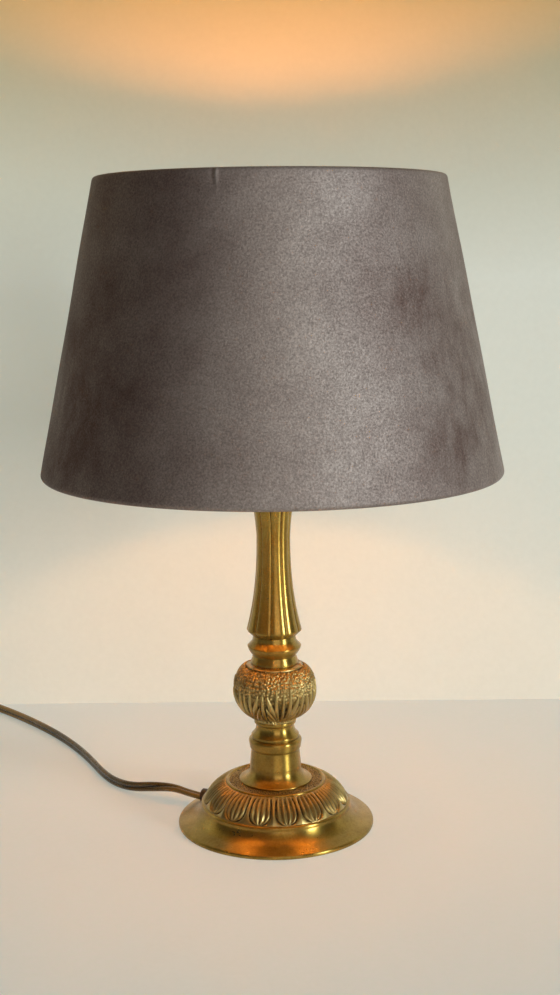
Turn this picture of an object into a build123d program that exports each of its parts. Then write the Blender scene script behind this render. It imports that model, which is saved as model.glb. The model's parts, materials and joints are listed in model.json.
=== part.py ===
from build123d import *
import os
from math import acos, atan, cos, pi, radians, sin, tan

os.makedirs("parts", exist_ok=True)

# A brass table lamp with a tapered velvet shade, a two-core flex, a switch on the flex and a plug.
# Sizes are in millimetres. The lamp stands on z = 0, with its axis on Z and its front towards -Y.

# Fits
tube_clearance = 0.15
thread_fit = 0.05
running_fit = 0.05
seat_gap = 0.1
bulb_clearance = 0.3

# Foot
foot_radius = 55.0
rim_height = 1.7
brim_edge = 0.7
brim_root_radius = 48.6
brim_rise = 1.5
cove_top_radius = 42.0
cove_rise = 6.8
cove_depth = 1.8
bead_inset = 1.4
bead_rise = 2.2
bead_bulge = 0.9
band_top_radius = 28.2
band_rise = 11.5
band_bulge = 1.9
top_bead_inset = 1.8
top_bead_rise = 0.6
foot_wall = 2.2
felt_thickness = 1.0
felt_pocket_radius = 52.6
felt_seat_width = 6.4

# Lower stem, from the foot's top land upwards
flange_radius = 20.4
flange_edge = 1.2
flare_rise = 7.4
flare_depth = 1.7
shaft_bottom_radius = 14.4
shaft_top_radius = 13.5
shaft_rise = 9.8
ring_rise = 6.4
ring_bulge = 1.4
ring_groove = 0.9
bead_ring_rise = 3.6
bead_ring_bulge = 0.7
neck_radius = 10.7
neck_rise = 5.0
neck_depth = 0.9
neck_lip_rise = 1.8

# Knop
knop_neck_radius = 11.7
knop_neck_rise = 1.8
knop_belly_radius = 22.8
knop_lower_rise = 17.2
knop_lower_bulge = 3.7
knop_upper_rise = 13.3
knop_upper_bulge = 2.7
knop_top_radius = 14.0

# Collar
collar_radius = 13.1
collar_base_rise = 1.3
collar_groove_radius = 12.0
collar_groove_rise = 3.7
collar_ring_radius = 15.0
collar_ring_rise = 5.2
collar_ring_bulge = 0.5
collar_crown_rise = 2.6
collar_crown_bulge = 0.8
collar_top_radius = 12.0
collar_top_rise = 3.4

# Reeded column
column_reeds = 10
column_reed_turn = -8.0
front_angle = -90.0
column_reed_depth = 0.55
column_foot_radius = 12.2
column_lip_rise = 3.0
column_lip_radius = 15.4
column_waist_radius = 9.3
column_lower_rise = 52.0
column_lower_power = 2.3
column_upper_rise = 35.0
column_top_radius = 14.6
column_upper_power = 1.6
column_sections = 11

# Pan on top of the column
pan_foot_radius = 11.6
pan_rim_radius = 18.0
pan_flare_rise = 6.5
pan_flare_depth = 1.4
pan_rim_rise = 1.4
pan_dish_depth = 1.6
pan_boss_radius = 9.0
pan_boss_rise = 3.1

# Threaded tube, its nut and the plates in the foot
tube_radius = 4.95
tube_bore_radius = 3.9
tube_end = 1.5
clamp_plate_radius = 21.0
clamp_plate_thickness = 2.0
washer_radius = 8.5
washer_thickness = 1.2
nut_across_flats = 14.0
nut_height = 5.0

# Lampholder
cap_radius = 12.8
cap_floor = 6.0
cap_round = 4.0
cap_rise = 23.0
cap_wall = 2.4
cap_neck_rise = 8.0
skirt_radius = 13.9
skirt_neck_wall = 2.0
shoulder_radius = 17.0
shoulder_thickness = 3.0
skirt_top_rise = 20.0
skirt_bore_radius = 10.8
core_foot_rise = 15.0
core_flange_thickness = 2.0
core_tube_wall = 2.3
core_tube_rise = 20.0
shell_bore_radius = 7.25
shell_wall = 0.7
shell_rise = 20.0
contact_width = 3.0
contact_strip = 0.6
contact_inset = 1.0
contact_rise = 2.8
terminal_radius = 2.2
terminal_offset = 6.0
terminal_height = 7.5
terminal_depth = 6.0
lead_radius = 1.1
lead_bend = 1.4
ring_wall = 2.2
ring_flange_radius = 19.0
ring_flange_thickness = 2.0
ring_height = 8.6
ring_chamfer = 0.4

# Bulb
bulb_tip_radius = 2.4
bulb_tip_height = 1.2
insulator_height = 3.4
insulator_top_radius = 5.8
bulb_cap_height = 16.0
bulb_cap_wall = 0.5
bulb_cap_flare_radius = 9.3
bulb_cap_flare_rise = 6.5
glass_wall = 0.8
glass_neck_depth = 5.0
glass_belly_radius = 17.5
glass_belly_rise = 25.0
glass_belly_bulge = 2.2
glass_point_rise = 46.0
glass_point_bulge = 3.6
glass_tip_radius = 1.6
stem_radius = 1.7
stem_disc_radius = 4.8
stem_disc_thickness = 1.5
filament_count = 4
filament_radius = 0.8
filament_offset = 3.4
filament_length = 30.0

# Shade
shade_bottom_radius = 125.0
shade_top_radius = 92.6
shade_height = 157.0
spider_rise = 46.0
velvet_thickness = 0.9
lining_thickness = 0.6
lining_gap = 0.05
hem_depth = 4.6
shade_wire_radius = 1.25
fitter_radius = 20.0
fitter_clearance = 0.4
fitter_thickness = 1.4
arm_count = 3
arm_radius = 1.4
arm_start = 6.0
arm_bend = 8.0
arm_first_angle = 60.0

# Flex
flex_width = 5.6
exit_angle = 154.5
exit_height = 7.3
bush_wall = 1.0
bush_bore_clearance = 0.2
bush_reach = 47.0
bush_length = 9.5
exit_run = 16.0
flex_floor = 4.3
inner_bend_start = 28.0
inner_bend_end = 12.0
inner_bend_radii = [28.0, 14.0, 7.0]
flex_end_rise = 3.0
arc_share = 0.45

# The flex on the table, from the foot to the switch, chosen along the photographed path
lead_route = [
    (-72.0, 34.7, 6.2),
    (-86.0, 42.5, 4.2),
    (-97.0, 53.5, 3.1),
    (-106.0, 68.5, 2.8),
    (-116.0, 91.0, 2.8),
    (-127.0, 113.0, 2.8),
    (-143.0, 139.0, 2.8),
    (-160.0, 161.5, 2.8),
    (-177.0, 181.0, 2.9),
    (-193.0, 197.0, 3.2),
    (-208.0, 208.0, 3.9),
    (-226.0, 211.5, 4.6),
    (-244.0, 206.5, 5.3),
    (-258.0, 194.0, 6.1),
]

# Switch on the flex
switch_x = -266.5
switch_y = 141.0
switch_length = 62.0
switch_width = 25.0
switch_split = 6.5
switch_height = 15.0
switch_wall = 1.6
switch_corner = 9.0
switch_edge = 2.0
switch_rib_inset = 10.0
switch_approach = 6.0
switch_rib_rise = 9.5
screw_radius = 1.3
screw_head_radius = 2.4
screw_head_height = 1.4
screw_length = 10.5
screw_post_radius = 2.6
screw_post_x = 6.8
screw_post_y = 24.0
contact_plate = (4.0, 7.0, 0.8)
contact_plate_y = 8.0
contact_post_top = 7.2
rocker_width = 9.6
rocker_half_length = 9.2
rocker_crown = 3.2
rocker_valley = 2.1
rocker_shoulder = 0.2
rocker_root = 3.4
rocker_root_half = 4.0
rocker_tilt = 7.0
rocker_gap = 0.5
pivot_radius = 1.0
pivot_height = 12.2
pivot_lug_width = 3.2
pivot_lug_half = 2.6

# Coil of the flex that isn't shown, its tie, and the flex on both sides of it
coil_outer_radius = 43.0
coil_pitch = 6.3
coil_layer_step = 6.3
coil_turns_in = 3
gap_probe_step = 2.0
coil_start_drop = 34.0
tail_approach = 3.0
tail_level_run = 12.0
tie_thickness = 0.8
tie_slack = 0.3
tie_width = 6.0
end_side_step = 3.0
end_drop = 0.4
end_straight = 11.0
end_middle = 24.0
end_run = 48.0

# Plug
plug_width = 35.2
plug_thickness = 13.8
plug_front = 9.0
plug_taper = 24.0
plug_rear_width = 15.0
plug_rear_thickness = 11.6
plug_corner = 4.5
pin_radius = 2.0
pin_spacing = 18.8
pin_length = 19.0
pin_seat = 7.0
pin_core_radius = 1.5
sleeve_length = 10.0
relief_length = 26.0
relief_root_radius = 5.2
relief_tip_radius = 3.6
relief_groove = 0.7
relief_ribs = 5

# Heights that follow from the stack
brim_height = rim_height + brim_edge
brim_root_height = brim_height + brim_rise
cove_top_height = brim_root_height + cove_rise
band_root_height = cove_top_height + bead_rise
band_top_height = band_root_height + band_rise
foot_height = band_top_height + top_bead_rise
foot_ceiling = foot_height - foot_wall
band_root_radius = cove_top_radius - bead_inset
land_radius = band_top_radius - top_bead_inset
stem_bore = tube_radius + tube_clearance

flare_top = foot_height + flange_edge + flare_rise
shaft_top = flare_top + shaft_rise
ring_top = shaft_top + ring_rise
bead_ring_top = ring_top + bead_ring_rise
neck_top = bead_ring_top + neck_rise
stem_top = neck_top + neck_lip_rise

knop_neck_top = stem_top + knop_neck_rise
knop_belly_height = knop_neck_top + knop_lower_rise
knop_top = knop_belly_height + knop_upper_rise

collar_base_top = knop_top + collar_base_rise
collar_groove_top = collar_base_top + collar_groove_rise
collar_ring_widest = collar_groove_top + collar_ring_rise
collar_crown_top = collar_ring_widest + collar_crown_rise
collar_top = collar_crown_top + collar_top_rise

column_lip = collar_top + column_lip_rise
column_waist = column_lip + column_lower_rise
column_top = column_waist + column_upper_rise

pan_flare_top = column_top + pan_flare_rise
pan_rim_top = pan_flare_top + pan_rim_rise
pan_top = pan_flare_top + pan_boss_rise + pan_rim_rise

cap_floor_top = pan_top + cap_floor
cap_top = pan_top + cap_rise
cap_neck_top = cap_top + cap_neck_rise
cap_bore_radius = cap_radius - cap_wall
core_bottom = cap_neck_top - core_foot_rise
core_flange_top = cap_neck_top + core_flange_thickness
shoulder_bottom = core_flange_top
shoulder_top = shoulder_bottom + shoulder_thickness
skirt_top = shoulder_top + skirt_top_rise
skirt_neck_bore = skirt_radius - skirt_neck_wall
cap_neck_radius = skirt_neck_bore - thread_fit
core_radius = min(cap_bore_radius, skirt_bore_radius) - tube_clearance
shell_radius = shell_bore_radius + shell_wall
core_tube_bore = shell_radius + thread_fit
core_tube_top = cap_neck_top + core_tube_rise
shell_top = cap_neck_top + shell_rise
contact_top = cap_neck_top + contact_rise

tip_height = contact_top + seat_gap
insulator_bottom = tip_height + bulb_tip_height
bulb_cap_bottom = insulator_bottom + insulator_height
bulb_cap_radius = shell_bore_radius - bulb_clearance
bulb_cap_thread_top = bulb_cap_bottom + bulb_cap_height
bulb_cap_top = bulb_cap_thread_top + bulb_cap_flare_rise
glass_neck_radius = bulb_cap_radius - bulb_cap_wall - thread_fit
glass_mouth_radius = bulb_cap_flare_radius - bulb_cap_wall - thread_fit
glass_bottom = bulb_cap_thread_top - glass_neck_depth
glass_belly_height = bulb_cap_top + glass_belly_rise
glass_point_height = glass_belly_height + glass_point_rise
glass_top = glass_point_height + glass_tip_radius
filament_bottom = glass_belly_height - filament_length / 2
filament_top = filament_bottom + filament_length

fitter_bottom = shoulder_top
fitter_top = fitter_bottom + fitter_thickness
shade_bottom = fitter_bottom - spider_rise
shade_top = shade_bottom + shade_height
shade_slope = (shade_bottom_radius - shade_top_radius) / shade_height


def shade_radius(height, inset=0.0):
    """Radius of the shade's cone at a height, inset from its outer face."""
    return shade_bottom_radius - inset - (height - shade_bottom) * shade_slope


# Small shapes that several pieces share


def bore(radius, bottom, top):
    """Cut a round hole along the lamp's axis."""
    with BuildSketch(Plane.XY.offset(bottom)) as hole:
        Circle(radius)
    extrude(hole.sketch, amount=top - bottom, mode=Mode.SUBTRACT)


def disc(radius, bottom, height):
    """Add a round plate on the lamp's axis."""
    with BuildSketch(Plane.XY.offset(bottom)) as plate:
        Circle(radius)
    extrude(plate.sketch, amount=height)


def write(part, label):
    """Name a finished piece and write its file."""
    part.part.label = label
    export_step(part.part, f"parts/{label}.step")


# Foot: polished skirt, bead, band for the leaves, bead and flat land, over a hollow
with BuildPart() as foot:
    cove_top = (cove_top_radius, cove_top_height)
    band_root = (band_root_radius, band_root_height)
    band_top = (band_top_radius, band_top_height)
    with BuildSketch(Plane.XZ):
        with BuildLine():
            Polyline(
                (felt_pocket_radius, 0),
                (foot_radius, 0),
                (foot_radius, rim_height),
                (foot_radius - brim_edge, brim_height),
                (brim_root_radius, brim_root_height),
            )
            SagittaArc((brim_root_radius, brim_root_height), cove_top, cove_depth)
            SagittaArc(cove_top, band_root, -bead_bulge)
            SagittaArc(band_root, band_top, -band_bulge)
            SagittaArc(band_top, (land_radius, foot_height), -bead_bulge)
            Polyline(
                (land_radius, foot_height),
                (stem_bore, foot_height),
                (stem_bore, foot_ceiling),
                (land_radius - foot_wall, foot_ceiling),
                (band_root_radius - foot_wall, band_root_height - foot_wall / 2),
                (felt_pocket_radius - felt_seat_width, felt_thickness),
                (felt_pocket_radius, felt_thickness),
                (felt_pocket_radius, 0),
            )
        make_face()
    revolve(axis=Axis.Z)
    exit_direction = Vector(cos(radians(exit_angle)), sin(radians(exit_angle)), 0)
    bush_radius = flex_width / 2 + bush_bore_clearance + bush_wall
    bush_start = exit_direction * (bush_reach - bush_length) + Vector(0, 0, exit_height)
    with BuildSketch(Plane(origin=bush_start, z_dir=exit_direction)):
        Circle(bush_radius + thread_fit)
    extrude(amount=bush_length + thread_fit, mode=Mode.SUBTRACT)
write(foot, "foot")

with BuildPart() as felt_disc:
    disc(felt_pocket_radius - tube_clearance, 0, felt_thickness)
write(felt_disc, "felt_disc")

with BuildPart() as cord_bush:
    with BuildSketch(Plane(origin=bush_start, z_dir=exit_direction)):
        Circle(bush_radius)
        Circle(bush_radius - bush_wall, mode=Mode.SUBTRACT)
    extrude(amount=bush_length)
write(cord_bush, "cord_bush")

# Lower stem: flange, shaft, two turned rings and the neck under the knop
with BuildPart() as lower_stem:
    flange_top = foot_height + flange_edge
    ring_root = shaft_top_radius
    bead_root = shaft_top_radius - ring_groove
    with BuildSketch(Plane.XZ):
        with BuildLine():
            Polyline(
                (stem_bore, foot_height),
                (flange_radius, foot_height),
                (flange_radius, flange_top),
            )
            SagittaArc((flange_radius, flange_top), (shaft_bottom_radius, flare_top), flare_depth)
            Line((shaft_bottom_radius, flare_top), (ring_root, shaft_top))
            SagittaArc((ring_root, shaft_top), (ring_root, ring_top), -ring_bulge)
            Line((ring_root, ring_top), (bead_root, ring_top))
            SagittaArc((bead_root, ring_top), (bead_root, bead_ring_top), -bead_ring_bulge)
            SagittaArc((bead_root, bead_ring_top), (neck_radius, neck_top), neck_depth)
            Polyline(
                (neck_radius, neck_top),
                (knop_neck_radius, neck_top),
                (knop_neck_radius, stem_top),
                (stem_bore, stem_top),
                (stem_bore, foot_height),
            )
        make_face()
    revolve(axis=Axis.Z)
write(lower_stem, "lower_stem")

# Knop: a squat ball that carries the leaves
with BuildPart() as knop:
    knop_neck = (knop_neck_radius, knop_neck_top)
    knop_belly = (knop_belly_radius, knop_belly_height)
    with BuildSketch(Plane.XZ):
        with BuildLine():
            Polyline((stem_bore, stem_top), (knop_neck_radius, stem_top), knop_neck)
            SagittaArc(knop_neck, knop_belly, -knop_lower_bulge)
            SagittaArc(knop_belly, (knop_top_radius, knop_top), -knop_upper_bulge)
            Polyline((knop_top_radius, knop_top), (stem_bore, knop_top), (stem_bore, stem_top))
        make_face()
    revolve(axis=Axis.Z)
write(knop, "knop")

# Collar: one bold turned ring on a flared base
with BuildPart() as collar:
    collar_ring = (collar_ring_radius, collar_ring_widest)
    with BuildSketch(Plane.XZ):
        with BuildLine():
            Polyline(
                (stem_bore, knop_top),
                (collar_radius, knop_top),
                (collar_radius, collar_base_top),
                (collar_groove_radius, collar_groove_top),
            )
            SagittaArc((collar_groove_radius, collar_groove_top), collar_ring, -collar_ring_bulge)
            SagittaArc(collar_ring, (collar_top_radius, collar_crown_top), -collar_crown_bulge)
            Polyline(
                (collar_top_radius, collar_crown_top),
                (collar_top_radius, collar_top),
                (stem_bore, collar_top),
                (stem_bore, knop_top),
            )
        make_face()
    revolve(axis=Axis.Z)
write(collar, "collar")


def column_radius(height):
    """Outer radius of the column: narrow at the waist, flaring to both ends."""
    if height < column_waist:
        flare = column_lip_radius - column_waist_radius
        share = (column_waist - height) / column_lower_rise
        return column_waist_radius + flare * share**column_lower_power
    flare = column_top_radius - column_waist_radius
    share = (height - column_waist) / column_upper_rise
    return column_waist_radius + flare * share**column_upper_power


def reeded_section(height, radius):
    """Sketch of the column's reeds: rounded panels that meet in narrow grooves."""
    step = 360 / column_reeds
    first = column_reed_turn + front_angle
    with BuildSketch(Plane.XY.offset(height)) as section:
        with BuildLine():
            for reed in range(column_reeds):
                start, middle, end = (first + (reed + part) * step for part in (0, 0.5, 1))
                groove = radius - column_reed_depth
                ThreePointArc(
                    (groove * cos(radians(start)), groove * sin(radians(start))),
                    (radius * cos(radians(middle)), radius * sin(radians(middle))),
                    (groove * cos(radians(end)), groove * sin(radians(end))),
                )
        make_face()
    return section.sketch


# Reeded column: rounded panels, with a lip at the foot and a flare at the top
with BuildPart() as column:
    section_step = (column_top - column_lip) / (column_sections - 1)
    section_heights = [column_lip + number * section_step for number in range(column_sections)]
    loft([reeded_section(height, column_radius(height)) for height in section_heights])
    foot_section = reeded_section(collar_top, column_foot_radius)
    lip_section = reeded_section(column_lip, column_lip_radius)
    loft([foot_section, lip_section], ruled=True)
    bore(stem_bore, collar_top, column_top)
write(column, "column")

# Pan: the turned cup that the lampholder stands in
with BuildPart() as pan:
    dish_radius = pan_rim_radius - pan_rim_rise
    dish_bottom = pan_rim_top - pan_dish_depth
    pan_rim = (pan_rim_radius, pan_flare_top)
    with BuildSketch(Plane.XZ):
        with BuildLine():
            Line((stem_bore, column_top), (pan_foot_radius, column_top))
            SagittaArc((pan_foot_radius, column_top), pan_rim, -pan_flare_depth)
            Polyline(
                pan_rim,
                (pan_rim_radius, pan_rim_top),
                (dish_radius, pan_rim_top),
                (pan_boss_radius, dish_bottom),
                (pan_boss_radius, pan_top),
                (stem_bore, pan_top),
                (stem_bore, column_top),
            )
        make_face()
    revolve(axis=Axis.Z)
write(pan, "pan")

# Clamp plate, washer, nut and threaded tube: they hold the foot, stem and lampholder together
plate_bottom = foot_ceiling - clamp_plate_thickness
washer_bottom = plate_bottom - washer_thickness
nut_bottom = washer_bottom - nut_height
tube_bottom = nut_bottom - tube_end

with BuildPart() as clamp_plate:
    disc(clamp_plate_radius, plate_bottom, clamp_plate_thickness)
    bore(stem_bore, plate_bottom, foot_ceiling)
write(clamp_plate, "clamp_plate")

with BuildPart() as washer:
    disc(washer_radius, washer_bottom, washer_thickness)
    bore(stem_bore, washer_bottom, plate_bottom)
write(washer, "washer")

with BuildPart() as tube_nut:
    with BuildSketch(Plane.XY.offset(nut_bottom)):
        RegularPolygon(nut_across_flats / 2, 6, major_radius=False)
        Circle(tube_radius + thread_fit, mode=Mode.SUBTRACT)
    extrude(amount=nut_height)
write(tube_nut, "tube_nut")

with BuildPart() as threaded_tube:
    disc(tube_radius, tube_bottom, cap_floor_top - tube_bottom)
    bore(tube_bore_radius, tube_bottom, cap_floor_top)
write(threaded_tube, "threaded_tube")

# Lampholder cap: screws on the threaded tube and hides the terminals
with BuildPart() as holder_cap:
    round_start = (cap_radius - cap_round, pan_top)
    round_end = (cap_radius, pan_top + cap_round)
    with BuildSketch(Plane.XZ):
        with BuildLine():
            Line((tube_radius + thread_fit, pan_top), round_start)
            RadiusArc(round_start, round_end, -cap_round)
            Polyline(
                round_end,
                (cap_radius, cap_top),
                (cap_neck_radius, cap_top),
                (cap_neck_radius, cap_neck_top),
                (cap_bore_radius, cap_neck_top),
                (cap_bore_radius, cap_floor_top),
                (tube_radius + thread_fit, cap_floor_top),
                (tube_radius + thread_fit, pan_top),
            )
        make_face()
    revolve(axis=Axis.Z)
write(holder_cap, "holder_cap")

# Lampholder skirt: screws on the cap's neck and has the shoulder that the shade rests on
with BuildPart() as holder_skirt:
    with BuildSketch(Plane.XZ):
        with BuildLine():
            Polyline(
                (skirt_neck_bore, cap_top),
                (skirt_radius, cap_top),
                (skirt_radius, shoulder_bottom),
                (shoulder_radius, shoulder_bottom),
                (shoulder_radius, shoulder_top),
                (skirt_radius, shoulder_top),
                (skirt_radius, skirt_top),
                (skirt_bore_radius, skirt_top),
                (skirt_bore_radius, core_flange_top),
                (skirt_neck_bore, core_flange_top),
                close=True,
            )
        make_face()
    revolve(axis=Axis.Z)
write(holder_skirt, "holder_skirt")

# Insulating core: carries the screw shell and the contacts between cap and skirt
with BuildPart() as holder_core:
    disc(core_radius, core_bottom, core_foot_rise)
    disc(skirt_neck_bore - tube_clearance, cap_neck_top, core_flange_thickness)
    disc(core_tube_bore + core_tube_wall, cap_neck_top, core_tube_rise)
    bore(core_tube_bore, cap_neck_top, core_tube_top)
    with BuildSketch(Plane.XY.offset(core_bottom)):
        with Locations((terminal_offset, 0), (-terminal_offset, 0)):
            Circle(terminal_radius + thread_fit)
    extrude(amount=terminal_depth, mode=Mode.SUBTRACT)
write(holder_core, "holder_core")

with BuildPart() as screw_shell:
    disc(shell_radius, cap_neck_top, shell_rise)
    bore(shell_bore_radius, cap_neck_top, shell_top)
write(screw_shell, "screw_shell")

# Sprung strip under the bulb's tip
with BuildPart() as centre_contact:
    strip_end = shell_bore_radius - contact_inset
    with BuildSketch(Plane.XZ):
        with BuildLine():
            Polyline(
                (strip_end, cap_neck_top),
                (strip_end, cap_neck_top + contact_strip),
                (bulb_tip_radius, cap_neck_top + contact_strip),
                (bulb_tip_radius / 2, contact_top),
                (-bulb_tip_radius / 2, contact_top),
                (-bulb_tip_radius / 2, contact_top - contact_strip),
                (bulb_tip_radius / 2 - contact_strip, contact_top - contact_strip),
                (bulb_tip_radius - contact_strip, cap_neck_top),
                close=True,
            )
        make_face()
    extrude(amount=contact_width / 2, both=True)
write(centre_contact, "centre_contact")

# Terminals in the core, and the two leads that come up to them from the flex
terminal_bottom = core_bottom + terminal_depth - terminal_height
with BuildPart() as terminals:
    with BuildSketch(Plane.XY.offset(terminal_bottom)):
        with Locations((terminal_offset, 0), (-terminal_offset, 0)):
            Circle(terminal_radius)
    extrude(amount=terminal_height)
write(terminals, "terminals")

flex_end = cap_floor_top + flex_end_rise
with BuildPart() as lead_wires:
    lead_run = (terminal_bottom - flex_end) / 4
    for side in (1, -1):
        with BuildLine() as lead_path:
            FilletPolyline(
                (side * flex_width / 4, 0, flex_end),
                (side * flex_width / 4, 0, flex_end + lead_run),
                (side * terminal_offset, 0, terminal_bottom - lead_run),
                (side * terminal_offset, 0, terminal_bottom),
                radius=lead_bend,
            )
        with BuildSketch(Plane.XY.offset(flex_end)):
            with Locations((side * flex_width / 4, 0)):
                Circle(lead_radius)
        sweep(path=lead_path.wire())
write(lead_wires, "lead_wires")

# Shade ring: screws down on the skirt over the shade's fitter
with BuildPart() as shade_ring:
    ring_bore = skirt_radius + 2 * running_fit
    disc(ring_flange_radius, fitter_top, ring_flange_thickness)
    disc(ring_bore + ring_wall, fitter_top, ring_height)
    bore(ring_bore, fitter_top, fitter_top + ring_height)
    chamfer(shade_ring.edges().group_by(Axis.Z)[-1], ring_chamfer)
write(shade_ring, "shade_ring")

# Bulb: end contact, insulator, screw cap, glass, stem and filaments
with BuildPart() as bulb_tip:
    disc(bulb_tip_radius, tip_height, bulb_tip_height)
    fillet(bulb_tip.edges().group_by(Axis.Z)[0], bulb_tip_height / 2)
write(bulb_tip, "bulb_tip")

with BuildPart() as bulb_insulator:
    with BuildSketch(Plane.XY.offset(insulator_bottom)):
        Circle(bulb_tip_radius)
    with BuildSketch(Plane.XY.offset(bulb_cap_bottom)):
        Circle(insulator_top_radius)
    loft()
write(bulb_insulator, "bulb_insulator")

with BuildPart() as bulb_cap:
    inner_radius = bulb_cap_radius - bulb_cap_wall
    with BuildSketch(Plane.XZ):
        with BuildLine():
            Polyline(
                (0, bulb_cap_bottom),
                (bulb_cap_radius, bulb_cap_bottom),
                (bulb_cap_radius, bulb_cap_thread_top),
                (bulb_cap_flare_radius, bulb_cap_top),
                (bulb_cap_flare_radius - bulb_cap_wall, bulb_cap_top),
                (inner_radius, bulb_cap_thread_top),
                (inner_radius, bulb_cap_bottom + bulb_cap_wall),
                (0, bulb_cap_bottom + bulb_cap_wall),
                close=True,
            )
        make_face()
    revolve(axis=Axis.Z)
write(bulb_cap, "bulb_cap")


def candle_outline(inset):
    """Outline of the candle-shaped glass from its neck to the axis at its tip."""
    mouth = (glass_mouth_radius - inset, bulb_cap_top)
    belly = (glass_belly_radius - inset, glass_belly_height)
    point = (glass_tip_radius, glass_point_height - 2 * inset)
    neck = glass_neck_radius - inset
    Polyline((neck, glass_bottom), (neck, bulb_cap_thread_top), mouth)
    SagittaArc(mouth, belly, -glass_belly_bulge)
    SagittaArc(belly, point, -glass_point_bulge)
    Line(point, (0, point[1] + glass_tip_radius))


with BuildPart() as bulb_glass:
    with BuildSketch(Plane.XZ):
        with BuildLine():
            candle_outline(0)
            Line((0, glass_top), (0, glass_top - 2 * glass_wall))
            candle_outline(glass_wall)
            Line((glass_neck_radius - glass_wall, glass_bottom), (glass_neck_radius, glass_bottom))
        make_face()
    revolve(axis=Axis.Z)
write(bulb_glass, "bulb_glass")

with BuildPart() as bulb_stem:
    disc(glass_neck_radius - glass_wall - seat_gap, glass_bottom, glass_neck_depth)
    disc(stem_radius, glass_bottom, filament_top - glass_bottom)
    disc(stem_disc_radius, filament_bottom - stem_disc_thickness, stem_disc_thickness)
    disc(stem_disc_radius, filament_top, stem_disc_thickness)
write(bulb_stem, "bulb_stem")

with BuildPart() as filaments:
    with BuildSketch(Plane.XY.offset(filament_bottom)):
        with PolarLocations(filament_offset, filament_count):
            Circle(filament_radius)
    extrude(amount=filament_length)
write(filaments, "filaments")

# Shade: velvet turned in at both rims, lining, rim wires, arms and fitter ring
with BuildPart() as velvet:
    hem_bottom = shade_bottom + velvet_thickness
    hem_top = shade_top - velvet_thickness
    with BuildSketch(Plane.XZ):
        with BuildLine():
            Polyline(
                (shade_bottom_radius - hem_depth, shade_bottom),
                (shade_bottom_radius, shade_bottom),
                (shade_top_radius, shade_top),
                (shade_top_radius - hem_depth, shade_top),
                (shade_top_radius - hem_depth, hem_top),
                (shade_radius(hem_top, velvet_thickness), hem_top),
                (shade_radius(hem_bottom, velvet_thickness), hem_bottom),
                (shade_bottom_radius - hem_depth, hem_bottom),
                close=True,
            )
        make_face()
    revolve(axis=Axis.Z)
write(velvet, "velvet_cover")

lining_outset = velvet_thickness + lining_gap
lining_inset = lining_outset + lining_thickness
lining_bottom = hem_bottom + lining_gap
lining_top = hem_top - lining_gap
with BuildPart() as lining:
    with BuildSketch(Plane.XZ):
        with BuildLine():
            Polyline(
                (shade_radius(lining_bottom, lining_inset), lining_bottom),
                (shade_radius(lining_bottom, lining_outset), lining_bottom),
                (shade_radius(lining_top, lining_outset), lining_top),
                (shade_radius(lining_top, lining_inset), lining_top),
                close=True,
            )
        make_face()
    revolve(axis=Axis.Z)
write(lining, "shade_lining")

wire_inset = lining_inset + lining_gap + shade_wire_radius / cos(atan(shade_slope))
bottom_wire_height = hem_bottom + lining_gap + shade_wire_radius
top_wire_height = hem_top - lining_gap - shade_wire_radius
bottom_wire_ring = shade_radius(bottom_wire_height, wire_inset)

with BuildPart() as bottom_wire:
    with BuildSketch(Plane.XZ):
        with Locations((bottom_wire_ring, bottom_wire_height)):
            Circle(shade_wire_radius)
    revolve(axis=Axis.Z)
write(bottom_wire, "bottom_wire")

with BuildPart() as top_wire:
    with BuildSketch(Plane.XZ):
        with Locations((shade_radius(top_wire_height, wire_inset), top_wire_height)):
            Circle(shade_wire_radius)
    revolve(axis=Axis.Z)
write(top_wire, "top_wire")

with BuildPart() as fitter:
    disc(fitter_radius, fitter_bottom, fitter_thickness)
    bore(skirt_radius + fitter_clearance, fitter_bottom, fitter_top)
write(fitter, "shade_fitter")

with BuildPart() as shade_arms:
    arm_height = fitter_bottom + fitter_thickness / 2
    arm_end = bottom_wire_ring - shade_wire_radius - lining_gap
    for arm in range(arm_count):
        arm_angle = radians(arm_first_angle + arm * 360 / arm_count)
        outward = Vector(cos(arm_angle), sin(arm_angle), 0)
        arm_base = outward * (fitter_radius + lining_gap) + Vector(0, 0, arm_height)
        with BuildLine() as arm_path:
            FilletPolyline(
                arm_base,
                arm_base + outward * arm_start,
                outward * arm_end + Vector(0, 0, bottom_wire_height + arm_radius / 2),
                radius=arm_bend,
            )
        with BuildSketch(Plane(origin=arm_base, z_dir=outward)):
            Circle(arm_radius)
        sweep(path=arm_path.wire())
write(shade_arms, "shade_arms")

# Flex


def turn_between(before, corner, after):
    """Angle, in radians, by which a route turns at a corner."""
    first = (corner - before).normalized()
    second = (after - corner).normalized()
    return acos(max(-1.0, min(1.0, first.dot(second))))


def route_radii(points):
    """Arc radius at each inner point of a route, as large as its two runs allow."""
    radii = []
    for before, corner, after in zip(points, points[1:], points[2:]):
        shorter = min((corner - before).length, (after - corner).length)
        radii.append(arc_share * shorter / tan(turn_between(before, corner, after) / 2))
    return radii


def flex_section(start, heading):
    """The flex's round section, square to its heading."""
    with BuildSketch(Plane(origin=start, z_dir=heading)) as section:
        Circle(flex_width / 2)
    return section.sketch


def report_tube(label, solid, length):
    """Print how a tube's volume compares with its section times its length."""
    ratio = solid.volume / (pi * flex_width**2 / 4 * length)
    print(label, "length", round(length, 1), "volume ratio", round(ratio, 4))


def flex_tube(label, route):
    """Sweep and write one free stretch of the flex."""
    points = [Vector(*point) for point in route]
    radii = route_radii(points)
    print(label, "radii", [round(radius, 1) for radius in radii])
    with BuildPart() as tube:
        with BuildLine() as path:
            FilletPolyline(*points, radius=radii)
        sweep(flex_section(points[0], points[1] - points[0]), path=path.wire())
    report_tube(label, tube.part, path.wire().length)
    write(tube, label)


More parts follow.
